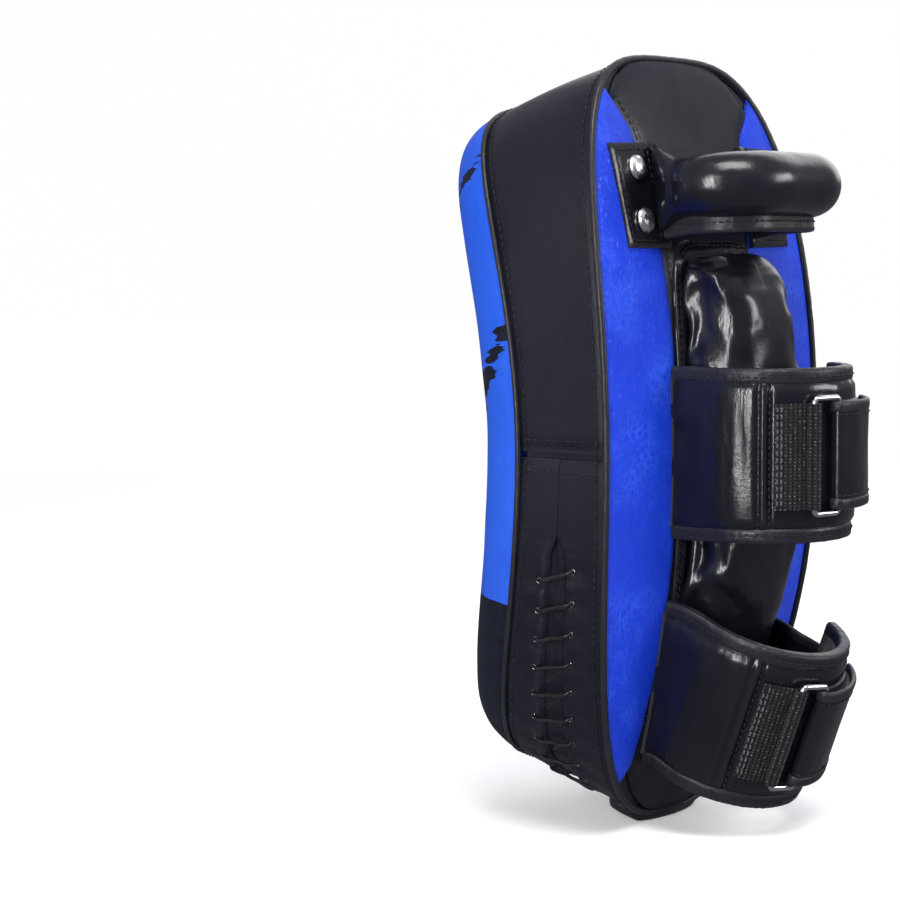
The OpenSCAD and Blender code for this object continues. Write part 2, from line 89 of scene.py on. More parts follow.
def unbent(p):
    """The inverse of bent: x, s and t in mm."""
    y, z = p.y / MM - FOOT_Y + BEND, p.z / MM - FOOT_Z
    return p.x / MM, BEND * atan2(z, y), hypot(y, z) - BEND


def out_of(s):
    return Vector((0, cos(s / BEND), sin(s / BEND)))


def edge(a, d=0.0, k=1.0):
    """The outline's point in direction a, drawn in by d and scaled by k."""
    n, h = UPPER if sin(a) >= 0 else LOWER
    r = (abs(cos(a)) ** n + abs(sin(a)) ** n) ** (-1 / n)
    return (HALF_W - d) * k * r * cos(a), (h - d) * k * r * sin(a)


def depth(s):
    return 55 + 24 * (s / 200) ** 2


def half_at(s, d=0.0):
    n, h = UPPER if s >= 0 else LOWER
    return (HALF_W - d) * max(0.0, 1 - (abs(s) / (h - d)) ** n) ** (1 / n)


def len_at(x, top, d=0.0):
    n, h = UPPER if top else LOWER
    return (h - d) * max(0.0, 1 - (abs(x) / (HALF_W - d)) ** n) ** (1 / n)


def even(a0, a1, n, closed=False):
    """Directions that are evenly spaced along the outline."""
    m = 3000
    pts = [edge(a0 + (a1 - a0) * i / m) for i in range(m + 1)]
    acc = [0.0]
    for p, q in zip(pts, pts[1:]):
        acc.append(acc[-1] + hypot(q[0] - p[0], q[1] - p[1]))
    out, j = [], 0
    for i in range(n if closed else n + 1):
        want = acc[-1] * i / n
        while j < m - 1 and acc[j + 1] < want:
            j += 1
        out.append(a0 + (a1 - a0) * (j + (want - acc[j]) / (acc[j + 1] - acc[j])) / m)
    return out


def smooth(x):
    x = min(1.0, max(0.0, x))
    return x * x * (3 - 2 * x)


def bump(x, c, w):
    return exp(-((x - c) / w) ** 2)


def wave(x, y, z=0.0, octaves=2):
    v, f, g = 0.0, 1.0, 1.0
    for _ in range(octaves):
        v += g * noise.noise(Vector((x * f + 11.3, y * f + 4.7, z * f + 2.9)))
        f, g = f * 2.1, g * 0.5
    return v


def spine_half(s):
    return 38 + 12 * (abs(s) / 160) ** 3 + 0.5 * max(0.0, abs(s) - 165)


def spine_x(s, side):
    lim = half_at(s, REAR_INSET)
    return min(MID + spine_half(s) + 2, lim) if side > 0 else -min(-MID + spine_half(s) - 2, lim)


def eased(m):
    """Steps from 0 to 1 that are closer together at both ends."""
    return [0.5 - 0.5 * cos(pi * j / m) for j in range(m + 1)]


def spline(pts, n):
    """A smooth curve through the points, in n steps between each two; the last point is left out."""
    out = []
    for i in range(len(pts) - 1):
        four = [pts[min(len(pts) - 1, max(0, i + k))] for k in (-1, 0, 1, 2)]
        for k in range(n):
            t = k / n
            out.append([0.5 * (2 * b + (c - a) * t + (2 * a - 5 * b + 4 * c - d) * t * t
                               + (3 * b - a - 3 * c + d) * t ** 3) for a, b, c, d in zip(*four)])
    return out


# ---------------- mesh building
class Build:
    def __init__(self):
        self.v, self.f, self.uv, self.m = [], [], [], []

    def grid(self, rows, around=False, loop=False, mat=None):
        base, m, n = len(self.v), len(rows), len(rows[0])
        for r in rows:
            self.v.extend(r)
        mid = rows[m // 2]
        us = [0.0]
        for j in range(1, n + (1 if around else 0)):
            us.append(us[-1] + (mid[j % n] - mid[j - 1]).length)
        vs = [0.0]
        for i in range(1, m + (1 if loop else 0)):
            vs.append(vs[-1] + (rows[i % m][n // 2] - rows[i - 1][n // 2]).length)
        for i in range(m if loop else m - 1):
            for j in range(n if around else n - 1):
                self.f.append((base + i * n + j, base + i * n + (j + 1) % n,
                               base + (i + 1) % m * n + (j + 1) % n, base + (i + 1) % m * n + j))
                self.uv += [(us[j], vs[i]), (us[j + 1], vs[i]), (us[j + 1], vs[i + 1]), (us[j], vs[i + 1])]
                self.m.append(mat(i, j) if callable(mat) else (mat or 0))
        return base

    def fan(self, ring, centre):
        c = len(self.v)
        self.v.append(centre)
        for j in range(len(ring)):
            self.f.append((ring[j], ring[(j + 1) % len(ring)], c))
            self.uv += [(0.0, 0.0), (0.002, 0.0), (0.001, 0.002)]
            self.m.append(0)

    def tube(self, rings, mat=None):
        """Rings along a path; the ends are closed by a fan."""
        base = self.grid(rings, around=True, mat=mat)
        n = len(rings[0])
        for k in (0, len(rings) - 1):
            self.fan([base + k * n + j for j in range(n)], sum(rings[k], Vector()) / n)

    def slab(self, top, low):
        """A closed sheet between an upper and a lower grid of points."""
        n = len(top[0])
        rows = [list(a) + list(reversed(b)) for a, b in zip(top, low)]
        base = self.grid(rows, around=True)
        for k in (0, len(rows) - 1):
            o = base + k * 2 * n
            for j in range(n - 1):
                self.f.append((o + j, o + j + 1, o + 2 * n - 2 - j, o + 2 * n - 1 - j))
                self.uv += [(0.0, 0.0), (0.002, 0.0), (0.002, 0.002), (0.0, 0.002)]
                self.m.append(0)

    def make(self, name, mats, sharp=38, body=None, closed=True):
        me = bpy.data.meshes.new(name)
        me.from_pydata([tuple(p) for p in self.v], [], self.f)
        layer = me.uv_layers.new(name="UVMap")
        layer.data.foreach_set("uv", [c for p in self.uv for c in p])
        me.polygons.foreach_set("material_index", self.m)
        me.polygons.foreach_set("use_smooth", [True] * len(me.polygons))
        bm = bmesh.new()
        bm.from_mesh(me)
        bmesh.ops.remove_doubles(bm, verts=bm.verts, dist=1e-6)
        bmesh.ops.dissolve_degenerate(bm, edges=bm.edges, dist=1e-7)
        if closed:
            bmesh.ops.recalc_face_normals(bm, faces=bm.faces)
        bm.to_mesh(me)
        bm.free()
        for m in (mats if isinstance(mats, (list, tuple)) else [mats]):
            me.materials.append(m)
        if sharp:
            me.set_sharp_from_angle(angle=radians(sharp))
        ob = bpy.data.objects.new(name, me)
        bpy.context.scene.collection.objects.link(ob)
        if body:
            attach(ob, body)
        return ob


def rounded(hx, hy, power, n):
    """A rounded rectangle, as points."""
    out = []
    for i in range(n):
        a = 2 * pi * (i + 0.5) / n
        r = (abs(cos(a) / hx) ** power + abs(sin(a) / hy) ** power) ** (-1 / power)
        out.append((r * cos(a), r * sin(a)))
    return out


def sheet(name, top, low, mat, sharp=50):
    b = Build()
    b.slab(top, low)
    return b.make(name, mat, sharp=sharp, body="pad")


# one stitch: place along it, thickness, rise
STITCH = ((0, 0.35, -0.35), (0.14, 0.85, 0.0), (0.5, 1, 0.12), (0.86, 0.85, 0.0), (1, 0.35, -0.35))
STITCH_START, STITCH_LIFT = 0.6, 0.18


def stitch_row(b, pairs, length=3.0, pitch=4.2, r=0.42):
    """Raised stitches of thread along a line of (point in metres, normal) pairs; sizes in mm."""
    acc = [0.0]
    for (p, _), (q, _) in zip(pairs, pairs[1:]):
        acc.append(acc[-1] + (q - p).length)
    at, j = STITCH_START, 0

    def look(d):
        nonlocal j
        d *= MM
        while j < len(pairs) - 2 and acc[j + 1] < d:
            j += 1
        while j > 0 and acc[j] > d:
            j -= 1
        f = (d - acc[j]) / max(1e-9, acc[j + 1] - acc[j])
        (p, n), (q, o) = pairs[j], pairs[j + 1]
        return p.lerp(q, f), n.lerp(o, f).normalized()

    while at + length < acc[-1] / MM:
        rings = []
        for f, rr, up in STITCH:
            p, n = look(at + length * f)
            t = (look(at + length * f + 0.3)[0] - p).normalized()
            w = n.cross(t).normalized()
            c = p + n * ((STITCH_LIFT + up) * MM)
            rings.append([c + (w * cos(k * pi / 3) * 1.1 + n * sin(k * pi / 3) * 0.8) * (r * rr * MM)
                          for k in range(6)])
        b.tube(rings)
        at += pitch


# ---------------- materials
class Mat:
    def __init__(self, name):
        self.mat = bpy.data.materials.new(name)
        self.mat.use_nodes = True
        self.t = self.mat.node_tree
        self.b = self.t.nodes["Principled BSDF"]
        self.obj = self.n("ShaderNodeTexCoord")

    def n(self, kind, **kw):
        node = self.t.nodes.new(kind)
        for k, v in kw.items():
            if k in node.inputs:
                node.inputs[k].default_value = v
            else:
                setattr(node, k, v)
        return node

    def link(self, a, b):
        self.t.links.new(a, b)

    def coords(self, scale=(1, 1, 1), uv=False, rotate=(0, 0, 0)):
        m = self.n("ShaderNodeMapping", Scale=scale, Rotation=rotate)
        self.link(self.obj.outputs["UV" if uv else "Object"], m.inputs["Vector"])
        return m.outputs["Vector"]

    def noise(self, scale, detail=3.0, rough=0.55, vec=None, distort=0.0):
        n = self.n("ShaderNodeTexNoise", Scale=scale, Detail=detail, Roughness=rough, Distortion=distort)
        self.link(vec or self.coords(), n.inputs["Vector"])
        return n.outputs["Fac"]

    def cells(self, scale, feature="F1", vec=None):
        n = self.n("ShaderNodeTexVoronoi", Scale=scale)
        n.feature = feature
        self.link(vec or self.coords(), n.inputs["Vector"])
        return n.outputs["Distance"]

    def math(self, op, a, b=None):
        n = self.n("ShaderNodeMath", operation=op)
        for i, v in enumerate((a, b)):
            if isinstance(v, (int, float)):
                n.inputs[i].default_value = v
            elif v is not None:
                self.link(v, n.inputs[i])
        return n.outputs[0]

    add = partialmethod(math, "ADD")
    sub = partialmethod(math, "SUBTRACT")
    mul = partialmethod(math, "MULTIPLY")
    low = partialmethod(math, "MINIMUM")
    high = partialmethod(math, "MAXIMUM")
    size = partialmethod(math, "ABSOLUTE")

    def span(self, v, a, b, c=0.0, d=1.0):
        """The range a..b of v carried over to c..d."""
        n = self.n("ShaderNodeMapRange", **{"From Min": a, "From Max": b, "To Min": c, "To Max": d})
        self.link(v, n.inputs["Value"])
        return n.outputs["Result"]

    def mix(self, fac, a, b):
        n = self.n("ShaderNodeMix", data_type="RGBA")
        if isinstance(fac, (int, float)):
            n.inputs["Factor"].default_value = fac
        else:
            self.link(fac, n.inputs["Factor"])
        for key, v in (("A", a), ("B", b)):
            s = [i for i in n.inputs if i.name == key and i.type == "RGBA"][0]
            if isinstance(v, tuple):
                s.default_value = (*v, 1)
            else:
                self.link(v, s)
        return [o for o in n.outputs if o.type == "RGBA"][0]

    def bump(self, height, strength, distance, onto=None):
        n = self.n("ShaderNodeBump", Strength=strength, Distance=distance)
        self.link(height, n.inputs["Height"])
        if onto is not None:
            self.link(onto, n.inputs["Normal"])
        return n.outputs["Normal"]

    def attr(self, name):
        return self.n("ShaderNodeAttribute", attribute_name=name).outputs["Fac"]

    def wear(self, low=0.5, high=0.62):
        g = self.n("ShaderNodeNewGeometry")
        return self.span(g.outputs["Pointiness"], low, high)

    def out(self, colour=None, rough=None, normal=None, **kw):
        if colour is not None:
            self.link(colour, self.b.inputs["Base Color"])
        if rough is not None:
            self.link(rough, self.b.inputs["Roughness"])
        if normal is not None:
            self.link(normal, self.b.inputs["Normal"])
        for k, v in kw.items():
            self.b.inputs[k.replace("_", " ")].default_value = v
        return self.mat


def dry_brush(m):
    """How far the brushed edges of the black print wander, in mm: a rag, and long dry streaks."""
    flat = m.n("ShaderNodeCombineXYZ")
    m.link(m.attr("flat_x"), flat.inputs[0])
    m.link(m.attr("flat_s"), flat.inputs[1])
    turn = m.n("ShaderNodeMapping", Rotation=(0, 0, radians(-40)), Scale=(0.007, 0.11, 1))
    m.link(flat.outputs[0], turn.inputs["Vector"])
    streak = m.noise(1.0, 4, 0.6, vec=turn.outputs["Vector"], distort=0.15)
    rag = m.noise(0.06, 5, 0.7, vec=flat.outputs[0], distort=0.4)
    wide = m.span(m.attr("flat_x"), -30, 40, 12, 36)
    return m.add(m.mul(m.sub(rag, 0.5), 9.0), m.mul(m.sub(streak, 0.52), wide))


def red_marks(m):
    """Plain red chevrons down the middle, and a plain red frame with two bars below them, in mm."""
    x, s = m.attr("flat_x"), m.attr("flat_s")
    ax = m.size(m.sub(x, 12.0))
    down = m.sub(99.0, m.add(s, m.mul(ax, 0.42)))
    w = m.math("FLOORED_MODULO", down, 31.0)
    chevron = m.low(m.low(w, m.sub(10.0, w)), m.sub(19.0, ax))
    chevron = m.low(chevron, m.low(down, m.sub(165.5, down)))
    bx, bs = m.size(m.sub(x, 30.0)), m.size(m.add(s, 128.0))
    box = m.high(m.sub(bx, 27.0), m.sub(bs, 17.0))
    line = m.sub(1.3, m.size(box))
    bar = m.low(m.sub(3.0, m.size(m.sub(bs, 7.0))), m.sub(19.0, bx))
    return m.high(chevron, m.high(line, bar))


# GLINT is the colour of the painted glints put along the crackle lines of the blue rear cover
INK, GLINT = (0.0055, 0.0058, 0.0095), (0.035, 0.13, 0.80)
RED, DARK_RED = (0.50, 0.008, 0.012), (0.40, 0.005, 0.008)


def leather(name, colour, lighter, rough, grain, pebbles, crease, spec, wear, blotch=60, coat=0.0,
            ink=False, crackle_and_glints=0.0):
    """Coated cloth: creases, blotches and a pebbled grain; the crackle option adds a crackle bump and painted
    glints along the crackle lines, ink adds the print.
    """
    m = Mat(name)
    big = m.noise(14, 3, 0.6)
    mid = m.noise(blotch, 3, 0.6)
    pebble = m.cells(grain, "SMOOTH_F1")
    fine = m.noise(grain * 2.3, 2, 0.6)
    folds = m.noise(55, 4, 0.62, vec=m.coords((1, 1, 0.4), rotate=(0.2, 0.5, 0.3)), distort=0.8)
    col = m.mix(m.span(big, 0.3, 0.75), colour, lighter)
    col = m.mix(m.mul(m.span(pebble, 0.5, 0.05), 0.22), col, tuple(c * 0.45 for c in colour))
    # painted glints: thin light-blue lines along the crackle cells, laid into the base colour
    if crackle_and_glints:
        warp = m.n("ShaderNodeVectorMath", operation="MULTIPLY_ADD")
        m.link(m.n("ShaderNodeTexNoise", Scale=260.0, Detail=3.0).outputs["Color"], warp.inputs[0])
        warp.inputs[1].default_value = (0.003, 0.003, 0.003)
        m.link(m.coords((1, 1, 0.8)), warp.inputs[2])
        cell = m.cells(310, "DISTANCE_TO_EDGE", vec=warp.outputs[0])
        glint = m.mul(m.span(cell, 0.15, 0.0), m.span(m.noise(30, 3, 0.65), 0.48, 0.66))
        col = m.mix(m.mul(glint, crackle_and_glints), col, GLINT)
    if ink:
        col = m.mix(m.span(m.add(m.attr("ink"), dry_brush(m)), -0.25, 0.25), col, INK)
        col = m.mix(m.span(red_marks(m), -0.15, 0.15), col, m.mix(m.noise(60, 3), RED, DARK_RED))
    col = m.mix(m.mul(m.wear(), wear), col, tuple(min(1, c * 2.2 + 0.025) for c in lighter))
    r = m.span(m.add(m.mul(mid, 0.6), m.mul(big, 0.4)), 0.33, 0.66, *rough)
    nrm = m.bump(folds, crease, 0.0012)
    nrm = m.bump(mid, crease * 0.5, 0.0006, nrm)
    nrm = m.bump(m.add(pebble, m.mul(fine, 0.35)), pebbles, 0.00022, nrm)
    if crackle_and_glints:
        nrm = m.bump(m.span(cell, 0.0, 0.2), 0.5, 0.0003, nrm)
    return m.out(col, r, nrm, Specular_IOR_Level=spec, Coat_Weight=coat, Coat_Roughness=0.15)


def thread(name, colour, lighter):
    m = Mat(name)
    twist = m.n("ShaderNodeTexWave", Scale=900.0, Distortion=2.0)
    m.link(m.coords((1, 1, 1), rotate=(0.4, 0.5, 0.2)), twist.inputs["Vector"])
    col = m.mix(m.noise(700, 2), colour, lighter)
    return m.out(col, m.span(m.noise(400, 2), 0.3, 0.7, 0.42, 0.6),
                 m.bump(twist.outputs["Fac"], 0.4, 0.0001), Specular_IOR_Level=0.25)


def cloth(name, colour, lighter):
    m = Mat(name)
    w1 = m.n("ShaderNodeTexWave", Scale=480.0, Distortion=0.6)
    w2 = m.n("ShaderNodeTexWave", Scale=480.0, Distortion=0.6, bands_direction="Z")
    for w in (w1, w2):
        m.link(m.coords(), w.inputs["Vector"])
    weave = m.high(w1.outputs["Fac"], w2.outputs["Fac"])
    col = m.mix(m.mul(weave, m.noise(90, 3)), colour, lighter)
    return m.out(col, m.span(m.noise(60, 3), 0.3, 0.7, 0.72, 0.9), m.bump(weave, 0.5, 0.0002),
                 Sheen_Weight=0.25, Sheen_Roughness=0.4, Specular_IOR_Level=0.3)


def ribbed(name):
    m = Mat(name)
    sep = m.n("ShaderNodeSeparateXYZ")
    m.link(m.coords(uv=True), sep.inputs["Vector"])
    z, u = sep.outputs["X"], sep.outputs["Y"]
    ribs = m.math("SINE", m.mul(u, 2 * pi / 0.0024))
    zig = m.math("SINE", m.add(m.mul(z, 2 * pi / 0.0017), m.mul(ribs, 1.4)))
    knit = m.mul(m.add(ribs, 1.0), m.add(zig, 1.2))
    # painted glints: bright grey specks on the knit's raised crests, put into the colour
    crest_glint = m.mul(m.span(knit, 2.2, 4.2), m.span(m.noise(620, 3, 0.7), 0.42, 0.66))
    col = m.mix(m.span(knit, 0.4, 4.2), (0.002, 0.002, 0.003), (0.014, 0.0135, 0.016))
    col = m.mix(m.mul(m.math("GREATER_THAN", crest_glint, 0.42), 0.8), col, (0.22, 0.22, 0.22))
    return m.out(col, m.span(m.noise(300, 2), 0.3, 0.7, 0.5, 0.75), m.bump(knit, 0.9, 0.0005),
                 Sheen_Weight=0.05, Specular_IOR_Level=0.2)


def metal(name, rough=(0.08, 0.2), tone=1.0):
    m = Mat(name)
    scratch = m.noise(240, 4, 0.7, vec=m.coords((1, 1, 7), rotate=(0.5, 0.2, 0.4)))
    smudge = m.noise(70, 3)
    dull, mid, worn = (tuple(c * tone for c in grey) for grey in
                       ((0.62, 0.63, 0.65), (0.80, 0.80, 0.81), (0.93, 0.93, 0.92)))
    col = m.mix(m.mul(m.wear(0.52, 0.66), 0.5), m.mix(smudge, dull, mid), worn)
    return m.out(col, m.span(smudge, 0.3, 0.7, *rough), m.bump(scratch, 0.12, 0.00008), Metallic=1.0)


def nap(name, colour, lighter):
    m = Mat(name)
    a, b = m.noise(2200, 4, 0.75), m.cells(1300)
    col = m.mix(m.span(a, 0.35, 0.7), colour, lighter)
    return m.out(col, m.span(a, 0.3, 0.7, 0.75, 0.95), m.bump(m.add(a, b), 0.9, 0.0006),
                 Sheen_Weight=0.4, Sheen_Roughness=0.5, Specular_IOR_Level=0.2)


BLUE_FRONT = leather("blue_front_cover", (0.010, 0.062, 0.43), (0.015, 0.082, 0.52), (0.36, 0.5), grain=620,
                     pebbles=0.5, crease=0.10, spec=0.14, wear=0.15, blotch=30, ink=True)
BLUE_REAR = leather("blue_rear_cover", (0.0016, 0.027, 0.44), (0.003, 0.038, 0.54), (0.34, 0.48), grain=520,
                    pebbles=0.9, crease=0.25, spec=0.26, wear=0.2, blotch=120, crackle_and_glints=0.6)
SATIN = leather("black_side_cover", (0.0052, 0.0054, 0.0105), (0.0088, 0.0090, 0.0155), (0.32, 0.44),
                grain=900, pebbles=0.35, crease=0.2, spec=0.21, wear=0.25)
GLOSS = leather("black_gloss_cover", (0.0030, 0.0030, 0.0058), (0.0055, 0.0054, 0.0092), (0.16, 0.27),
                grain=1100, pebbles=0.2, crease=0.4, spec=0.38, wear=0.25, blotch=85)
BINDING = leather("black_edge_binding", (0.0048, 0.0048, 0.0076), (0.0095, 0.0092, 0.0135), (0.3, 0.46),
                  grain=1300, pebbles=0.5, crease=0.5, spec=0.32, wear=0.35, blotch=160)
LINING = cloth("black_lining", (0.008, 0.008, 0.010), (0.030, 0.030, 0.034))
RIBBED = ribbed("ribbed_elastic")
THREAD = thread("black_thread", (0.004, 0.004, 0.005), (0.016, 0.016, 0.018))
THREAD_LIGHT = thread("grey_thread", (0.035, 0.035, 0.038), (0.12, 0.12, 0.125))
LACE = leather("lace_cord", (0.004, 0.004, 0.005), (0.010, 0.010, 0.012), (0.2, 0.32), grain=1600,
               pebbles=0.5, crease=0.3, spec=0.3, wear=0.2, coat=0.15)
CHROME = metal("polished_steel")
NICKEL = metal("rivet_steel", (0.2, 0.34))
DARK_STEEL = metal("eyelet_steel", (0.16, 0.3), 0.3)
NAP = nap("loop_tape_nap", (0.008, 0.008, 0.009), (0.035, 0.035, 0.038))
HOOK = nap("hook_tape_nap", (0.006, 0.006, 0.007), (0.05, 0.05, 0.055))

# ---------------- soft goods: cloth simulation, applied
def set_mesh(ob, me):
    old = ob.data
    for m in old.materials:
        if m and m.name not in [x.name for x in me.materials if x]:
            me.materials.append(m)
    ob.modifiers.clear()
    ob.data = me
    bpy.data.meshes.remove(old)


def applied(ob):
    dg = bpy.context.evaluated_depsgraph_get()
    dg.update()
    set_mesh(ob, bpy.data.meshes.new_from_object(ob.evaluated_get(dg)))


def inflate(ob, pinned, limit, voxel, pressure, spare, cap, frames=18):
    """Remesh, let the cloth take the pressure, cap and limit the movement, then subdivide once."""
    mod = ob.modifiers.new("remesh", "REMESH")
    mod.mode, mod.voxel_size, mod.use_smooth_shade = "VOXEL", voxel, True
    applied(ob)
    rest = [v.co.copy() for v in ob.data.vertices]
    group = ob.vertex_groups.new(name="pin")
    group.add([i for i, p in enumerate(rest) if pinned(p)], 1.0, "REPLACE")
    mod = ob.modifiers.new("cloth", "CLOTH")
    s = mod.settings
    s.quality, s.mass, s.air_damping = 6, 0.25, 2.0
    s.tension_stiffness = s.compression_stiffness = 18
    s.shear_stiffness, s.bending_stiffness = 8, 0.35
    s.use_pressure, s.uniform_pressure_force = True, pressure
    s.vertex_group_mass, s.shrink_min = "pin", -spare
    s.effector_weights.gravity = 0
    mod.point_cache.frame_start, mod.point_cache.frame_end = 1, frames
    sc = bpy.context.scene
    for f in range(1, frames + 1):
        sc.frame_set(f)
    dg = bpy.context.evaluated_depsgraph_get()
    me = bpy.data.meshes.new_from_object(ob.evaluated_get(dg))
    moved = [v.co.copy() for v in me.vertices]
    ob.vertex_groups.clear()
    set_mesh(ob, me)
    sc.frame_set(1)
    for v, a, b in zip(ob.data.vertices, rest, moved):
        d = b - a
        d = d * (min(1.0, cap / max(d.length, 1e-9)))
        v.co = limit(a, a + d)
    mod = ob.modifiers.new("sub", "SUBSURF")
    mod.levels = mod.render_levels = 1
    applied(ob)
    ob.data.polygons.foreach_set("use_smooth", [True] * len(ob.data.polygons))


# ---------------- striking face: one padded cover, with printed swashes
def stroke(x, s, x0, s0, x1, s1, w0, w1):
    """How far (x, s) is inside a swash from (x0, s0) to (x1, s1), w0 wide at its start and w1 at its end."""
    dx, ds = x1 - x0, s1 - s0
    u = ((x - x0) * dx + (s - s0) * ds) / (dx * dx + ds * ds)
    u = min(1.0, max(0.0, u))
    return w0 + (w1 - w0) * u - hypot(x - x0 - u * dx, s - s0 - u * ds)


SWASHES = ((-66, 52, 44, 140, 19, 13), (-62, 60, -44, 6, 13, 3), (2, 118, 10, -96, 22, 31),
           (40, 120, 135, 184, 6, 2.5), (26, -28, 136, 70, 14, 4), (24, -34, 66, -84, 13, 20))


def ink_at(x, s):
    """How far inside the black print (x, s) is: the swashes, and all that is below a wandering line."""
    line = -150 + 14 * smooth((x + 100) / 50) + 62 * smooth((x + 62) / 50) - 12 * smooth((x - 30) / 60)
    return max(*(stroke(x, s, *w) for w in SWASHES), (line - s) * 0.9)


ROUND_OVER = ((0.2, 0.6), (0.2, 2), (0.8, 8), (4, 18), (10, 27), (19, 33), (30, 36))   # inset and height


def front_cover():
    n, inner = 340, 52
    ang = even(0, 2 * pi, n, closed=True)
    rings = [(d, 1.0, h) for d, h in spline(ROUND_OVER, 5)]
    for i in range(inner):
        tau = i / inner
        rings.append((30 + 8 * smooth(tau / 0.5), 1 - tau, 36 + 2 * smooth(tau / 0.35)))
    rows = []
    for d, k, h in rings:
        row = []
        for a in ang:
            x, s = edge(a, d, k)
            pucker = 0.55 * exp(-h / 9.0) * wave(x * 0.11, s * 0.11, 3.0, 1) * 2
            soft = 0.9 * wave(x * 0.018, s * 0.014, 1.0) * smooth(h / 30)
            row.append(bent(x, s, -(depth(s) + h + soft)) + Vector((cos(a), 0, sin(a))) * (pucker * MM))
        rows.append(row)
    back = [[bent(*edge(a, 4, k), -(depth(edge(a, 4, k)[1]) + 0.9)) for a in ang] for k in (0.2, 0.6, 1)]
    b = Build()
    base = b.grid(back + rows, around=True)
    last = base + (len(back) + len(rows) - 1) * n
    b.fan([last + j for j in range(n)], bent(0, 0, -(depth(0) + 38)))
    b.fan([base + j for j in range(n)], bent(0, 0, -(depth(0) + 0.9)))
    ob = b.make("front_cover_shell", BLUE_FRONT, sharp=60, body="pad")
    # for the print: the face laid flat, with its rounded edge folded out
    marks = {"ink": [], "flat_x": [], "flat_s": []}
    for v in ob.data.vertices:
        x, s, t = unbent(v.co)
        x += (1 if x > 0 else -1) * max(0.0, 35 - (-t - depth(s))) * smooth((abs(x) - 60) / 25)
        for key, value in zip(marks, (ink_at(x, s), x, s)):
            marks[key].append(value)
    for key, values in marks.items():
        ob.data.attributes.new(key, "FLOAT", "POINT").data.foreach_set("value", values)
    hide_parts("front_cover", "front_foam")


front_cover()

# the foam block behind the covers, seen only as the dark bottom of a seam
def body_core():
    n = 120
    ang = even(0, 2 * pi, n, closed=True)
    rows = [[bent(*edge(a, d, k), -2.0) for a in ang] for d, k in ((4, 0.4), (2.6, 1))]
    rows += [[bent(*edge(a, 2.9), -depth(edge(a, 2.9)[1]) * u - 1.2) for a in ang]
             for u in (0.04, 0.3, 0.6, 0.9)]
    rows += [[bent(*edge(a, 4, k), -depth(edge(a, 4, k)[1]) * 0.97) for a in ang] for k in (0.97, 0.4)]
    b = Build()
    base = b.grid(rows, around=True)
    b.fan([base + j for j in range(n)], bent(0, 0, -2))
    b.fan([base + (len(rows) - 1) * n + j for j in range(n)], bent(0, 0, -50))
    ob = b.make("body_block", SATIN, body="pad")
    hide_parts("core_foam", "rear_board")


body_core()

# ---------------- side bands, slit, tongue and lace
SLIT_MID, SLIT_TOP = 0.525, -40      # the slit's place across the side, and where it opens
HOLES, HOLE_GAP = 22, 0.185
TONGUE = 0.14


def band_at(a, u, lift):
    """A point of the side, u across it from the rear seam to the front one."""
    x, s = edge(a, 0.2 - lift)
    return bent(x, s, -(0.9 + (depth(s) - 1.8) * u))


def band_normal(a):
    e = 0.01
    p, q = edge(a - e), edge(a + e)
    t = Vector((q[0] - p[0], 0, q[1] - p[1])).normalized()
    n = Vector((t.z, 0, -t.x))
    return n if n.x * cos(a) + n.z * sin(a) > 0 else -n


def side_band_upper():
    n, us = 300, eased(22)
    top, low = [], []
    for i, a in enumerate(even(radians(0.5), radians(179.5), n)):
        x, s = edge(a)
        end = bump(i, 0, 3) + bump(i, n, 3)
        row = []
        for u in us:
            arc = sin(pi * u)
            soft = 0.45 * wave(x * 0.02 + 3, s * 0.03, u * 1.7) \
                + 0.25 * wave(x * 0.06, s * 0.08, u * 2.2) * (1 - arc)
            seam = -1.1 * (bump(u, 0, 0.05) + bump(u, 1, 0.05))
            row.append(band_at(a, u, 1.0 * arc + seam - 1.3 * end + soft))
        top.append(row)
        low.append([band_at(a, u, -2.4) for u in us])
    ob = sheet("side_cover_upper", top, low, SATIN)
    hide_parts("side_band_upper")


def slit_open(s):
    return smooth((SLIT_TOP - s) / 16)


HOLE_A = even(radians(-17), radians(-163), HOLES * 2)


def lace_hole(k, side):
    """side +1 is the rear row, -1 the front row; the front row sits half a step later."""
    return HOLE_A[2 * k + (0 if side > 0 else 1)], SLIT_MID - side * HOLE_GAP


def side_band_lower(name, front):
    n, fs = 420, eased(14)
    holes = [edge(lace_hole(k, -1 if front else 1)[0]) for k in range(HOLES)]
    top, low = [], []
    for i, a in enumerate(even(radians(-0.5), radians(-179.5), n)):
        x, s = edge(a)
        open_ = slit_open(s)
        h = 0.004 + 0.086 * open_ * (1.0 - 0.12 * wave(s * 0.05, 2.0))
        u_in, u_out = (SLIT_MID + h, 1.0) if front else (SLIT_MID - h, 0.0)
        near = min(hypot(x - p[0], s - p[1]) for p in holes)
        end = bump(i, 0, 3) + bump(i, n, 3)
        row, lrow = [], []
        for f in fs:
            u = u_in + (u_out - u_in) * f
            lip = open_ * (0.9 * bump(f, 0.12, 0.12) - 1.9 * bump(f, 0, 0.05))
            pull = -1.5 * open_ * exp(-(near / 5.0) ** 2) * bump(f, 0.3, 0.3)
            ridge = 0.6 * open_ * wave(near * 0.3, x * 0.2 + s * 0.2, 1, 1) * bump(f, 0.15, 0.25)
            soft = 0.4 * wave(x * 0.025 + 3, s * 0.03, u * 2)
            dip = -1.1 * bump(f, 1, 0.09) - (1 - open_) * 0.22 * bump(f, 0, 0.04)
            row.append(band_at(a, u, 0.7 * sin(pi * u) + dip + lip + pull + ridge + soft - 1.3 * end))
            lrow.append(band_at(a, u, -2.4))
        top.append(row)
        low.append(lrow)
    return sheet(name, top, low, SATIN)


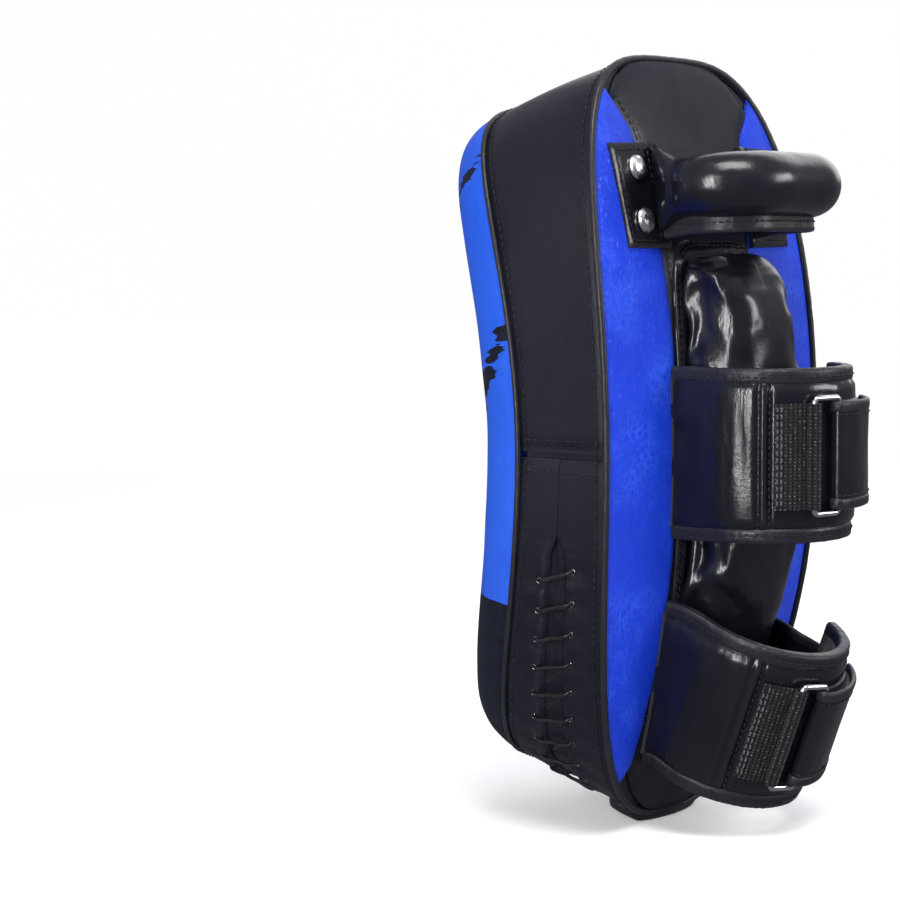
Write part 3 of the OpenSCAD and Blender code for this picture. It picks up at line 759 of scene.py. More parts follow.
def tongue():
    us = [SLIT_MID - TONGUE + 2 * TONGUE * j / 12 for j in range(13)]
    top, low = [], []
    for a in even(radians(-10), radians(-170), 320):
        x, s = edge(a)
        row = []
        for j, u in enumerate(us):
            f = j / 12
            folds = 0.9 * wave(f * 4.2 + 3, (x + s) * 0.025, 5.0, 2) \
                + 0.7 * wave(f * 1.5, (x - s) * 0.13, 1.0, 1)
            row.append(band_at(a, u, -2.2 + folds))
        top.append(row)
        low.append([band_at(a, u, -4.6) for u in us])
    ob = sheet("lace_tongue_folds", top, low, SATIN, sharp=60)
    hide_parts("lace_tongue")


# one pass of the lace from hole to hole: place across, height
LACE_PASS = ((0.0, -2.4), (0.04, -0.4), (0.12, 1.2), (0.3, 1.35), (0.5, 0.9), (0.7, 1.35), (0.88, 1.2),
             (0.96, -0.4), (1.0, -2.4))


def lace():
    path = []
    for k in range(HOLES):
        (a0, u0), (a1, u1) = lace_hole(k, -1), lace_hole(k, 1)
        for f, up in LACE_PASS:
            path.append(band_at(a0 + (a1 - a0) * f, u0 + (u1 - u0) * f, up + 0.25 * wave(k * 1.7, f * 3)))
        if k + 1 < HOLES:
            a2, u2 = lace_hole(k + 1, -1)
            for f in (0.3, 0.7):
                path.append(band_at(a1 + (a2 - a1) * f, u1 + (u2 - u1) * f, -3.0))
    fine = [Vector(p) for p in spline(path, 4)] + [path[-1]]
    rings = []
    for i, p in enumerate(fine):
        t = (fine[min(i + 1, len(fine) - 1)] - fine[max(i - 1, 0)]).normalized()
        n = Vector((p.x, 0, p.z - FOOT_Z * MM)).normalized()
        n = (n - t * n.dot(t)).normalized()
        w = t.cross(n)
        rings.append([p + (n * cos(k * pi / 4) * 0.85 + w * sin(k * pi / 4) * 1.35) * MM for k in range(8)])
    b = Build()
    b.tube(rings)
    ob = b.make("lace_cord_run", LACE, sharp=0, body="pad")
    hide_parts("lace")
    e = Build()
    for k in range(HOLES):
        for side in (1, -1):
            a, u = lace_hole(k, side)
            n = band_normal(a)
            c = band_at(a, u, -0.35)
            ty = Vector((0, 1, 0))
            tx = n.cross(ty).normalized()
            rings = []
            for i in range(20):
                q = 2 * pi * i / 20
                away = tx * cos(q) + ty * sin(q)
                rings.append([c + away * ((1.45 + 0.42 * cos(pi * j / 4)) * MM)
                              + n * (0.42 * sin(pi * j / 4) * MM) for j in range(8)])
            e.grid(rings, around=True, loop=True)
    e.make("lace_eyelets", DARK_STEEL, sharp=0, body="pad")


side_band_upper()
ob = side_band_lower("side_cover_lower_front", True)
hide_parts("side_band_lower_front")
ob = side_band_lower("side_cover_lower_rear", False)
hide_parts("side_band_lower_rear")
tongue()
lace()


def seam_cord(name, r, front, node):
    ang = even(0, 2 * pi, 460, closed=True)
    rings = []
    for a in ang:
        p = edge(a, 0.5)
        t0 = -(depth(p[1]) if front else 0.2)
        rr = r * (1 + 0.10 * wave(p[0] * 0.25, p[1] * 0.25, 1, 1))
        rings.append([bent(*edge(a, 0.5 + rr * cos(pi * k / 5)), t0 + rr * sin(pi * k / 5))
                      for k in range(10)])
    b = Build()
    b.grid(rings, around=True, loop=True)
    ob = b.make(name, BINDING, sharp=0, body="pad")
    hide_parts(node)


seam_cord("front_seam_cord", 1.5, True, "front_piping")
seam_cord("rear_seam_cord", 1.8, False, "rear_piping")


def foot_patch():
    """The patch under the lower end: flat below, and fitted to the pad above."""
    def under(x, y):
        a = -len_at(x, False, 0.2) / BEND
        return FOOT_Z + (y + BEND - FOOT_Y) * sin(a) / cos(a)
    rings = []
    for f, u, lift in ((0.3, 0, 0.0), (0.86, 0, 0.0), (0.94, 0, 0.35), (0.985, 0.12, 0.6), (1.0, 0.45, 0.5),
                       (1.0, 0.8, 0.2), (0.97, 1.0, 0.6), (0.9, 1.0, 1.6), (0.3, 1.0, 2.2)):
        ring = []
        for i in range(72):
            x, y = 36 * f * cos(2 * pi * i / 72), 14 * f * sin(2 * pi * i / 72)
            top = max(0.0, under(x, y))
            low = max(0.0, top - 6.5) + 0.004 * max(0.0, abs(x) - 18) ** 2
            ring.append(Vector((x, y, low + (top - low) * u + lift)) * MM)
        rings.append(ring)
    b = Build()
    b.tube(rings)
    ob = b.make("foot_leather", BINDING, body="pad")
    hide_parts("foot_patch")


foot_patch()

# ---------------- rear covers
def cover_t(x, s, u, swell):
    """Height of a rear cover: a little swell in the middle, drawn down at its two seams."""
    seam = bump(u, 0, 0.035) + bump(u, 1, 0.035)
    return swell * sin(pi * u) ** 0.7 - 1.0 * seam + 0.22 * wave(x * 0.05, s * 0.05, 2)


def rear_lens(name, side, node):
    top, low = [], []
    n, us = 150, eased(20)
    for i in range(n + 1):
        s = -180.5 + (180.5 + 191) * i / n
        a = spine_x(s, side) + 0.3 * side
        e = side * half_at(s, 2.0)
        if (e - a) * side < 0.4:
            e = a + 0.4 * side
        wide = smooth(abs(e - a) / 14)
        top.append([bent(a + (e - a) * u, s, cover_t(a + (e - a) * u, s, u, 1.3 * wide) + 0.1) for u in us])
        low.append([bent(a + (e - a) * u, s, -1.9) for u in us])
    ob = sheet(name, top, low, BLUE_REAR)
    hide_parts(node)


rear_lens("rear_lens_left", 1, "rear_panel_left")
rear_lens("rear_lens_right", -1, "rear_panel_right")


def spine(name, w0, w1, node):
    n, us = max(12, int(120 * (w1 - w0) / 2)), eased(28)
    top, low = [], []
    for i in range(n + 1):
        w = w0 + (w1 - w0) * i / n
        s0 = w * (198 if w < 0 else 202)
        xa, xb = spine_x(s0 * 0.985, -1), spine_x(s0 * 0.985, 1)
        end = 1.3 * (bump(i, 0, 1.3) + bump(i, n, 1.3))
        row, lrow = [], []
        for u in us:
            x = xa + (xb - xa) * u
            s = w * len_at(x, w > 0, REAR_INSET)
            row.append(bent(x, s, cover_t(x, s, u, 1.0 if w < 0 else 1.6) - end * 0.6))
            lrow.append(bent(x, s, -1.9))
        top.append(row)
        low.append(lrow)
    ob = sheet(name, top, low, SATIN)
    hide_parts(node)


spine("spine_panel", -0.755, 1.0, "spine_cover")
spine("bottom_panel", -1.0, -0.760, "bottom_cap")

# ---------------- forearm cushion: cloth under pressure
C_LOW, C_HIGH, C_HALF, C_H = -158.0, 102.0, 34.0, 35.0
C_MID, C_REACH = (C_LOW + C_HIGH) / 2, (C_HIGH - C_LOW) / 2


def c_rise(s, h):
    u = min(1.0, max(0.0, (s - 45) / (C_HIGH - 45)))
    v = min(1.0, max(0.0, (45 - s) / (45 - C_LOW)))
    return 4 + (h - 4) * sqrt(1 - u ** 3.2) * (1 - 0.32 * v ** 1.3) * sqrt(1 - v ** 9)


def cushion():
    rows = []
    n, m = 64, 36
    for i in range(n + 1):
        s = C_MID + (0.985 * C_REACH - 1.5) * sin(pi / 2 * (2 * i / n - 1))
        r = c_rise(s, C_H - 1.2)
        k = (C_HALF - 0.8) * max(0.0, 1 - (abs(s - C_MID) / C_REACH) ** 7) ** (1 / 7)
        swell = 1 + 0.08 * min(1, r / 20)
        row = []
        for j in range(m + 1):
            a = pi * j / m
            c = cos(a)
            sign = 1 if c > 0 else -1 if c < 0 else 0
            wide = k * (1 + (swell - 1) * sin(a)) * sign * abs(c) ** 0.42
            row.append(bent(MID + wide, s, 0.6 + r * sin(a) ** 0.5))
        for j in range(1, 10):
            row.append(bent(MID - k + 2 * k * j / 10, s, 0.5))
        rows.append(row)
    b = Build()
    b.tube(rows)
    ob = b.make("forearm_cushion", GLOSS, sharp=0)

    def keep_in(a, p):
        """Calm the crown, and keep the walls inside the sewn edge."""
        wall = smooth((abs(a.x / MM - MID) - 18) / 12)
        p = a.lerp(p, 0.3 + 0.7 * wall)
        x = max(-37.2, min(36.6, p.x / MM - MID))
        return Vector(((x + MID) * MM, p.y, p.z))

    inflate(ob, lambda p: unbent(p)[2] < 3.4, keep_in, voxel=0.0042, pressure=3.5, spare=0.07, cap=0.0045)
    for v in ob.data.vertices:
        x, s, t = unbent(v.co)
        if t < 2.0:
            continue
        x -= MID
        side = smooth((abs(x) - 22) / 10) * smooth((t - 2) / 5)
        crease = side * (1.3 * wave(s * 0.020 + 5, t * 0.13 + s * 0.035, x * 0.005, 2)
                         + 0.45 * wave(s * 0.05, t * 0.3 + s * 0.09, 7.0, 1))
        crown = (1 - side) * 0.35 * wave(x * 0.05, s * 0.02, 4.0)
        v.co += Vector(((1 if x > 0 else -1) * crease * MM, 0, 0)) + out_of(s) * (crown * MM)
    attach(ob, "pad")
    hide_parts("cushion_cover", "cushion_foam")


cushion()


def flange_xs(a, q):
    r = (abs(cos(a)) ** 7 + abs(sin(a)) ** 7) ** (-1 / 7)
    return MID + (C_HALF + q) * r * cos(a), C_MID + (C_REACH + q) * r * sin(a)


def cushion_flange():
    rings, n = [], 260
    sec = [(-1.5, 0.3), (-1.5, 1.9), (0.8, 2.2), (2.2, 1.8), (3.8, 1.5), (5.4, 1.5), (6.0, 1.0), (6.0, 0.2),
           (2.0, 0.15)]
    for i in range(n):
        ring = []
        for q, t in sec:
            x, s = flange_xs(2 * pi * i / n, q)
            ring.append(bent(x, s, t + (0.25 * wave(x * 0.14, s * 0.14) if t > 1 else 0)))
        rings.append(ring)
    b = Build()
    b.grid(rings, around=True, loop=True)
    ob = b.make("cushion_edge", GLOSS, sharp=50, body="pad")
    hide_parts("cushion_flange")


cushion_flange()

# ---------------- handle
def tilted(s, droop):
    """The rear face's point at s, and the ways out of it and up it, drooped by some degrees."""
    th = s / BEND - radians(droop)
    return bent(0, s, 0), Vector((0, cos(th), sin(th))), Vector((0, -sin(th), cos(th)))


GRIP_V, H_HALF, CORNER = 52.0, 42.0, 26.0
H_ROOT, H_OUT, H_UP = tilted(134, 9)


def grip_at(x, v, z):
    return H_ROOT + Vector((x * MM, 0, 0)) + H_OUT * (v * MM) + H_UP * (z * MM)


def grip_path():
    """The middle line of the grip: (x, v) and its outward normal, from the left root to the right one."""
    half = [(44.0, 1.2), (43.6, 3.0), (43.2, 5.0), (42.8, 8.0), (42.4, 12.0), (42.1, 16.0), (42.0, 20.0),
            (42.0, 26.0)]
    for i in range(1, 13):
        a = pi / 2 * i / 12
        half.append((H_HALF - CORNER + CORNER * cos(a), GRIP_V - CORNER + CORNER * sin(a)))
    half += [(12.0, GRIP_V), (8.0, GRIP_V), (4.0, GRIP_V)]
    pts = half + [(0.0, GRIP_V)] + [(-x, v) for x, v in reversed(half)]
    fine = []
    for i in range(len(pts) - 1):
        for k in range(3):
            f = k / 3
            fine.append((pts[i][0] * (1 - f) + pts[i + 1][0] * f, pts[i][1] * (1 - f) + pts[i + 1][1] * f))
    fine.append(pts[-1])
    return fine


def normals_2d(pts):
    out = []
    for i in range(len(pts)):
        a, b = pts[max(0, i - 1)], pts[min(len(pts) - 1, i + 1)]
        dx, dy = b[0] - a[0], b[1] - a[1]
        k = hypot(dx, dy) or 1
        out.append((dy / k, -dx / k))
    return out


def handle():
    pts = grip_path()
    nrm = normals_2d(pts)
    rings = []
    acc = 0.0
    for i, ((x, v), (nx, nv)) in enumerate(zip(pts, nrm)):
        if i:
            acc += hypot(x - pts[i - 1][0], v - pts[i - 1][1])
        f = smooth((v - 1.0) / 26)
        hn = 2.6 + (16.3 - 2.6) * (1 - (1 - min(1.0, v / 19)) ** 1.9)
        hz = 25.6 + (16.4 - 25.6) * (1 - (1 - min(1.0, v / 20)) ** 2.0) - 1.4 * bump(v, 22, 9)
        bend_ = bump(v, 38, 14)
        ring = []
        for k in range(40):
            a = 2 * pi * k / 40
            p = 2.0 + 1.2 * (1 - f)
            r = (abs(cos(a) / hn) ** p + abs(sin(a) / hz) ** p) ** (-1 / p)
            inner = max(0.0, -cos(a))
            fold = inner * bend_ * 0.9 * wave(acc * 0.22, k * 0.05, 2.0, 2)
            soft = 0.35 * wave(acc * 0.05, cos(a) * 1.2, sin(a) * 1.2)
            face = max(0.0, cos(a))
            turn = v + 0.02 * (r * sin(a)) ** 2
            gather = 0.6 * bump(v, 9, 6) * wave(sin(a) * 2.6, v * 0.05, cos(a), 2) \
                + face * (0.8 * bump(turn, 26, 2.6) - 0.7 * bump(turn, 20, 3.4))
            r += fold + soft + gather
            n_, z_ = r * cos(a), r * sin(a) - 1.5 * (1 - f)
            clear = 0.6 + (0.158 * -z_ if z_ < 0 else 0)
            ring.append(grip_at(MID + x + nx * n_, max(clear, v + nv * n_), z_))
        rings.append(ring)
    b = Build()
    b.tube(rings)
    ob = b.make("handle_grip_cover", GLOSS, sharp=0)
    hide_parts("handle_grip", "handle_foam", "handle_webbing")
    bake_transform(ob)
    # the sewn allowance along the underside, with a rounded lower edge and a row of stitches on each side
    keep = [(x, v) for x, v in pts if v >= 5.5]
    kn = normals_2d(keep)
    side = [(1.5, -14.5), (1.6, -17.5), (1.6, -21.2), (2.0, -22.4), (1.3, -23.7)]
    sec = [(-n_, z_) for n_, z_ in side] + [(0, -24.1)] + side[::-1]
    rings = []
    for i, ((x, v), (nx, nv)) in enumerate(zip(keep, kn)):
        w = 0.5 * wave(i * 0.21, 3.0)
        low = 1.5 * (1 - smooth((v - 5) / 20))
        ring = []
        for n_, z_ in sec:
            sway = n_ + w * (-z_ - 16) / 12
            ring.append(grip_at(MID + x + nx * sway, v + nv * sway, z_ - low))
        rings.append(ring)
    b = Build()
    b.tube(rings)
    fl = b.make("handle_seam_edge", BINDING, sharp=50)
    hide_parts("handle_flange")
    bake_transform(fl)
    s = Build()
    for sg in (1, -1):
        off = 1.75 * sg
        stitch_row(s, [(grip_at(MID + x + nx * off, v + nv * off, -18.6),
                        (grip_at(x + nx, v + nv, 0) - grip_at(x, v, 0)).normalized() * sg)
                       for (x, v), (nx, nv) in zip(keep, kn)], length=2.8, pitch=3.8)
    so = s.make("handle_stitches", THREAD, sharp=0)
    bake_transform(so)


handle()


# corners of the tab on the rear face, slanted as it is cut, as (x from the middle, s)
TAB = ((39.5, 158.0), (79.5, 156.5), (75.5, 103.5), (39.5, 103.0))
RIVETS_X, RIVETS_S = 60, (144, 117)


def tab(side, node):
    (x0, s0), (x1, s1), (x2, s2), (x3, s3) = TAB
    n = 26
    top, low = [], []
    for i in range(n + 1):
        f = i / n
        row, lrow = [], []
        for j in range(n + 1):
            g = j / n
            x = (x0 * (1 - g) + x1 * g) * (1 - f) + (x3 * (1 - g) + x2 * g) * f
            s = (s0 * (1 - g) + s1 * g) * (1 - f) + (s3 * (1 - g) + s2 * g) * f
            e = min(f, 1 - f, g * 0.9 + 0.02, (1 - g) * 0.9) * 50
            rim = -0.9 * exp(-e / 1.2) - 0.55 * bump(e, 4.2, 0.9)
            pull = -0.5 * sum(bump(hypot(x - RIVETS_X, s - rs), 0, 9) for rs in RIVETS_S)
            t = 3.1 + rim + pull + 0.25 * wave(x * 0.08, s * 0.08, side) + 0.5 * smooth((46 - x) / 6)
            row.append(bent(MID + side * x, s, t))
            lrow.append(bent(MID + side * x, s, 0.6))
        top.append(row)
        low.append(lrow)
    ob = sheet(node + "_leather", top, low, GLOSS, sharp=55)
    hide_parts(node)
    b = Build()
    for corners, t in (([(48, 154.2), (75.6, 153.2), (72.2, 107.2), (48, 106.9)], 2.75),
                       ([(48.5, 153.6), (48.2, 107.4)], 3.2)):
        line = []
        for (xa, sa), (xb, sb) in zip(corners, corners[1:]):
            k = max(2, int(hypot(xb - xa, sb - sa) / 2))
            line += [bent(MID + side * (xa + (xb - xa) * i / k), sa + (sb - sa) * i / k, t) for i in range(k)]
        line.append(bent(MID + side * corners[-1][0], corners[-1][1], t))
        stitch_row(b, [(p, out_of(134)) for p in line], length=2.8, pitch=3.8, r=0.4)
    b.make(node + "_stitches", THREAD, sharp=0, body="pad")


tab(1, "handle_tab_left")
tab(-1, "handle_tab_right")

# ---------------- forearm loops
HALF_L, MID_L, RISE_L = 46.0, 28.0, 43.0


def arch(q, off):
    if q < 0:
        return MID + HALF_L + off, MID_L + q * MID_L / 30
    if q > 180:
        return MID - HALF_L - off, MID_L - (q - 180) * MID_L / 30
    a = radians(q)
    return MID + (HALF_L + off) * cos(a), MID_L + (RISE_L + off) * sin(a)


def arch_out(q):
    p, r = arch(q, 0), arch(q, 1)
    k = hypot(r[0] - p[0], r[1] - p[1])
    return (r[0] - p[0]) / k, (r[1] - p[1]) / k


BAR_A = Vector(arch(62.5, 4.2))
BAR_DIR = (Vector(arch(83.3, 4.2)) - BAR_A).normalized()
BAR_B = BAR_A + BAR_DIR * 16.5
BAR_OUT = Vector((BAR_DIR.y, -BAR_DIR.x)) if BAR_DIR.x < 0 else Vector((-BAR_DIR.y, BAR_DIR.x))


class Loop:
    def __init__(self, name, s, droop):
        self.name, self.s = name, s
        self.o, self.v, self.z = tilted(s, droop)
        self.body, self.ring, self.flap = name + "_loop", name + "_ring", name + "_flap"

    def at(self, x, v, z):
        p = self.o + Vector((x * MM, 0, 0)) + self.v * (v * MM) + self.z * (z * MM)
        if v < 26:
            q = bent(x, self.s + z, max(0.5, v))
            p = q.lerp(p, smooth((v - 1.0) / 25))
        return p

    def way(self, nx, nv):
        return (Vector((nx, 0, 0)) + self.v * nv).normalized()

    def root(self, ob):
        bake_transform(ob)


def sweep(b, loop, path, section):
    """path: (x, v, nx, nv) in the loop's plane; section: (n, z) points."""
    rings = []
    for i, (x, v, nx, nv) in enumerate(path):
        sec = section(i / (len(path) - 1)) if callable(section) else section
        rings.append([loop.at(x + nx * n_, v + nv * n_, z_) for n_, z_ in sec])
    b.tube(rings)


def cross_row(b, loop, x, v, n, half, length, pitch, r):
    """Stitches straight across a cuff or a strap."""
    stitch_row(b, [(loop.at(x, v, z), n) for z in range(-half, half + 1, 2)], length, pitch, r)


def arch_path(q0, q1, n, off=0.0):
    out = []
    for i in range(n + 1):
        q = q0 + (q1 - q0) * i / n
        x, v = arch(q, off)
        nx, nv = arch_out(q)
        out.append((x, v, nx, nv))
    return out


def strip_section(h, th, n=14):
    """Closed section of a flat strip, 2h high and th thick, thinner at both edges."""
    zs = [h * sin(pi / 2 * (2 * i / n - 1)) for i in range(n + 1)]
    up = [(th / 2 - 2.1 * max(0, abs(z) / h - 0.9), z) for z in zs]
    return up + [(-n_, z) for n_, z in reversed(up)]


CUFF_ROWS = (27.5, 35.0)     # two sewn grooves across the cuff, in degrees round the arch


def cuff(loop):
    nq, nz = 130, 30
    rings = []
    seed = 3.0 if loop.name == "upper" else 8.0
    for i in range(nq + 1):
        q = -29.5 + (158 + 29.5) * i / nq
        calm = 1 - smooth((q - 30) / 8) * (1 - smooth((q - 76) / 10))
        foot = 1 - smooth((q + 14) / 30)
        ring = []
        for j in range(nz + 1):
            z = 42 * sin(pi / 2 * (2 * j / nz - 1))
            e = abs(z) / 42
            puff = 1.3 * calm * (1 - e ** 6) - 2.2 * smooth((e - 0.83) / 0.07) \
                + 1.3 * bump(q, -6, 13) * (1 - e ** 4)
            rows_ = -1.5 * sum(bump(q, row_q, 1.5) for row_q in CUFF_ROWS) * smooth((38 - abs(z)) / 3)
            wr = calm * (0.34 * wave(q * 0.075, z * 0.012, seed) + 0.10 * wave(q * 0.19, z * 0.05, seed + 4))
            crumple = foot * 0.9 * wave(z * 0.07, q * 0.05, seed + 1)
            x, v = arch(q, puff + rows_ + wr + crumple)
            ring.append(loop.at(x, v, z))
        for j in range(nz + 1):
            z = -42 * sin(pi / 2 * (2 * j / nz - 1))
            e = abs(z) / 42
            fold = 0.8 * wave(q * 0.13, z * 0.02, seed + 9) * (1 - e ** 6)
            x, v = arch(q, -7.0 + 1.6 * smooth((e - 0.84) / 0.16) + fold * 0.7)
            ring.append(loop.at(x, v, z))
        rings.append(ring)
    b = Build()
    b.tube(rings, mat=lambda i, j: 1 if nz < j < 2 * nz + 1 else 0)
    ob = b.make(loop.name + "_cuff_pad", [GLOSS, LINING], sharp=60)
    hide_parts(loop.name + "_cuff", loop.name + "_cuff_foam", loop.name + "_cuff_lining")
    loop.root(ob)
    # folded binding round both edges, up to the far end
    b = Build()
    for sg in (-1, 1):
        rings = []
        for i in range(141):
            q = -29.0 + (158.6 + 29.0) * i / 140
            ring = []
            for n_, z_ in rounded(3.2, 4.0, 4.5, 20):
                w = 0.22 * wave(q * 0.35, z_ * 0.4 + sg * 5, seed)
                x, v = arch(q, -3.4 + n_ + w)
                ring.append(loop.at(x, v, sg * (40.1 + z_ + w)))
            rings.append(ring)
        b.tube(rings)
    ob = b.make(loop.name + "_cuff_edging", BINDING, sharp=60)
    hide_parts(loop.name + "_cuff_binding")
    loop.root(ob)
    # stitches: one row in each binding, and two across the cuff in its grooves
    s = Build()
    for z in (39.6, -39.6):
        qs = [-20 + 170 * i / 149 for i in range(150)]
        stitch_row(s, [(loop.at(*arch(q, -0.15), z), loop.way(*arch_out(q))) for q in qs], 2.7, 3.7, 0.4)
    for q in CUFF_ROWS:
        cross_row(s, loop, *arch(q, -0.5), loop.way(*arch_out(q)), 36, 2.6, 3.5, 0.45)
    so = s.make(loop.name + "_cuff_stitches", THREAD, sharp=0)
    loop.root(so)


def anchor_band(loop):
    path = arch_path(38, 61, 16, 1.55)
    for i in range(1, 22):
        a = radians(15 * i - 6)
        d = -BAR_OUT * cos(a) + BAR_DIR * sin(a)
        p = BAR_A + d * 2.85
        path.append((p.x, p.y, -d.x, -d.y))
    b = Build()
    sweep(b, loop, path, strip_section(26.6, 1.55, n=18))
    ob = b.make(loop.name + "_anchor_elastic", RIBBED, sharp=50, body=loop.body)
    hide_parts(loop.name + "_anchor_band")
    s = Build()
    for q in (39.6, 42.2):
        cross_row(s, loop, *arch(q, 2.45), loop.way(*arch_out(q)), 25, 2.6, 3.6, 0.42)
    s.make(loop.name + "_anchor_stitches", THREAD_LIGHT, sharp=0, body=loop.body)


def ring(loop):
    h, w, corner, r = 29.1, 16.5, 2.5, 1.6
    rings = []
    for cx, cz, a0 in ((w - corner, h - corner, 0), (corner, h - corner, 90), (corner, -h + corner, 180),
                       (w - corner, -h + corner, 270)):
        for i in range(11):
            a = radians(a0 + 90 * i / 10)
            d, z = cx + corner * cos(a), cz + corner * sin(a)
            c = BAR_A + BAR_DIR * d
            p = loop.at(c.x, c.y, z)
            side = (loop.at(c.x + BAR_DIR.x, c.y + BAR_DIR.y, z) - p).normalized()
            n1 = (side * cos(a) + loop.z * sin(a)).normalized()
            n2 = loop.way(BAR_OUT.x, BAR_OUT.y)
            rings.append([p + (n1 * cos(pi * k / 7) + n2 * sin(pi * k / 7)) * (r * MM) for k in range(14)])
    b = Build()
    b.grid(rings, around=True, loop=True)
    ob = b.make(loop.name + "_ring_wire", CHROME, sharp=0, body=loop.ring)
    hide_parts(loop.name + "_ring")


def fold_path(half, n=10):
    """Round the ring's outer bar: half 'low' from under it to its edge, half 'high' from there to over it."""
    pts = []
    for i in range(n + 1):
        a = radians((0 if half == "low" else 90) + 90 * i / n)
        d = -BAR_OUT * cos(a) - BAR_DIR * sin(a)
        p = BAR_B + d * 2.9
        pts.append((p.x, p.y, d.x, d.y))
    return pts


def bound_edges(b, loop, path, h, seed):
    """The rolled binding along both edges of a strap."""
    for sg in (-1, 1):
        rings = []
        for i, (x, v, nx, nv) in enumerate(path):
            ring = []
            for n_, z_ in rounded(1.45, 3.0, 3.0, 14):
                w = 0.12 * wave(i * 0.35, z_ * 0.5 + sg * 3, seed)
                ring.append(loop.at(x + nx * (n_ + w), v + nv * (n_ + w), sg * (h - 2.1 + z_)))
            rings.append(ring)
        b.tube(rings)


def strap(loop):
    seed = 2.0 if loop.name == "upper" else 6.0
    # the long part, from its root on the pad to under the flap
    root = arch_path(138, 209.5, 60, 1.35)[::-1]
    b = Build()
    sweep(b, loop, root, lambda f: [(n_ + 0.45 * wave(f * 9, z_ * 0.03, seed) * (1 if n_ > 0 else 0.4), z_)
                                    for n_, z_ in strip_section(26.4, 1.9)])
    ob = b.make(loop.name + "_strap_long", GLOSS, sharp=50)
    loop.root(ob)
    e = Build()
    bound_edges(e, loop, root, 26.5, seed)
    eo = e.make(loop.name + "_strap_long_edging", BINDING, sharp=60)
    loop.root(eo)
    # the last part of the strap, up to and under the ring's outer bar
    path = arch_path(88, 146, 40, 1.35)[::-1] + fold_path("low")
    b = Build()
    sweep(b, loop, path, strip_section(26.2, 1.7))
    so = b.make(loop.name + "_strap_end", GLOSS, sharp=50)
    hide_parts(loop.name + "_strap")
    e = Build()
    bound_edges(e, loop, path, 26.5, seed + 2)
    se = e.make(loop.name + "_strap_end_edging", BINDING, sharp=60)
    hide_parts(loop.name + "_strap_binding")
    s0, s1 = arch(104, 1.35), arch(91, 1.35)
    for o in (so, se):
        loop.at(s0[0], s0[1], 0)
        loop.at(s1[0], s1[1], 0)
        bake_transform(o)
    # the folded end, round the bar and back over the strap
    path = fold_path("high") + arch_path(85.5, 142, 46, 7.1)
    b = Build()

    def loose(f):
        return [(n_ + (0.4 * wave(f * 7, z_ * 0.03, seed + 5) if n_ > 0 and f > 0.2 else 0), z_)
                for n_, z_ in strip_section(26.4, 1.8)]

    sweep(b, loop, path, loose)
    fo = b.make(loop.name + "_strap_fold", GLOSS, sharp=50)
    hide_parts(loop.name + "_flap")
    e = Build()
    bound_edges(e, loop, path, 26.6, seed + 7)
    fe = e.make(loop.name + "_fold_edging", BINDING, sharp=60)
    s = Build()
    for z in (20.4, -20.4):
        stitch_row(s, [(loop.at(x + nx, v + nv, z), loop.way(nx, nv)) for x, v, nx, nv in path[3:]],
                   2.7, 3.7, 0.4)
    for k in (-3, -6):
        x, v, nx, nv = path[k]
        cross_row(s, loop, x + nx, v + nv, loop.way(nx, nv), 20, 2.7, 3.7, 0.4)
    fs = s.make(loop.name + "_fold_stitches", THREAD, sharp=0)
    a, c = arch(85.0, 7.1), arch(95, 7.1)
    for o in (fo, fe, fs):
        loop.at(a[0], a[1], 0)
        loop.at(c[0], c[1], 0)
        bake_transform(o)


LOOPS = [Loop("upper", -1, 0), Loop("lower", -122, 10)]
for lp in LOOPS:
    cuff(lp)
    anchor_band(lp)
    ring(lp)
    strap(lp)

# ---------------- stitches along the body's seams
def body_stitches():
    s = Build()
    ang = even(0, 2 * pi, 620, closed=True)
    ang.append(ang[0] + 2 * pi)
    for from_edge, front, lift, r in ((5.0, False, 0.25, 0.42), (4.5, True, 0.2, 0.4)):
        pairs = []
        for a in ang:
            u = from_edge / depth(edge(a)[1])
            pairs.append((band_at(a, 1 - u if front else u, lift), band_normal(a)))
        stitch_row(s, pairs, r=r)
    us = [0.06 + 0.88 * i / 30 for i in range(31)]
    for a in (radians(2.2), radians(-2.4), radians(177.8), radians(182.4)):
        stitch_row(s, [(band_at(a, u, 0.85 * sin(pi * u) - 0.1), band_normal(a)) for u in us])
    s.make("side_stitches", THREAD, sharp=0, body="pad")
    s = Build()
    for side in (1, -1):
        stitch_row(s, [(bent(spine_x(sv, side) - 3.2 * side, sv, 0.75), out_of(sv))
                       for sv in range(-150, 188, 2)])
    for k in (0.748, 0.772):
        pairs = []
        for i in range(41):
            x = -52 + 100 * i / 40
            sv = -k * len_at(x, False, REAR_INSET)
            pairs.append((bent(x, sv, 1.0), out_of(sv)))
        stitch_row(s, pairs)
    for q, t in ((4.4, 1.65), (2.4, 1.85)):
        line = [flange_xs(2 * pi * i / 300, q) for i in range(301)]
        stitch_row(s, [(bent(x, sv, t), out_of(sv)) for x, sv in line], 2.8, 3.9, 0.4)
    s.make("rear_stitches", THREAD, sharp=0, body="pad")


body_stitches()

# ---------------- CAD pieces that stay, with their finishes
def finish_nodes():
    for name, mat in (("handle_rivets", NICKEL), ("rivet_washers", NICKEL), ("loop_roots", BINDING),
                      ("upper_loop_tape", NAP), ("lower_loop_tape", NAP),
                      ("upper_hook_tape", HOOK), ("lower_hook_tape", HOOK)):
        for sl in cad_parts[name].material_slots:
            sl.material = mat


finish_nodes()

# ---------------- floor and light
WHITE, DIM, PALE = (1, 1, 1), (0.16, 0.16, 0.18, 1), (0.42, 0.42, 0.45, 1)
DOME = 8.8


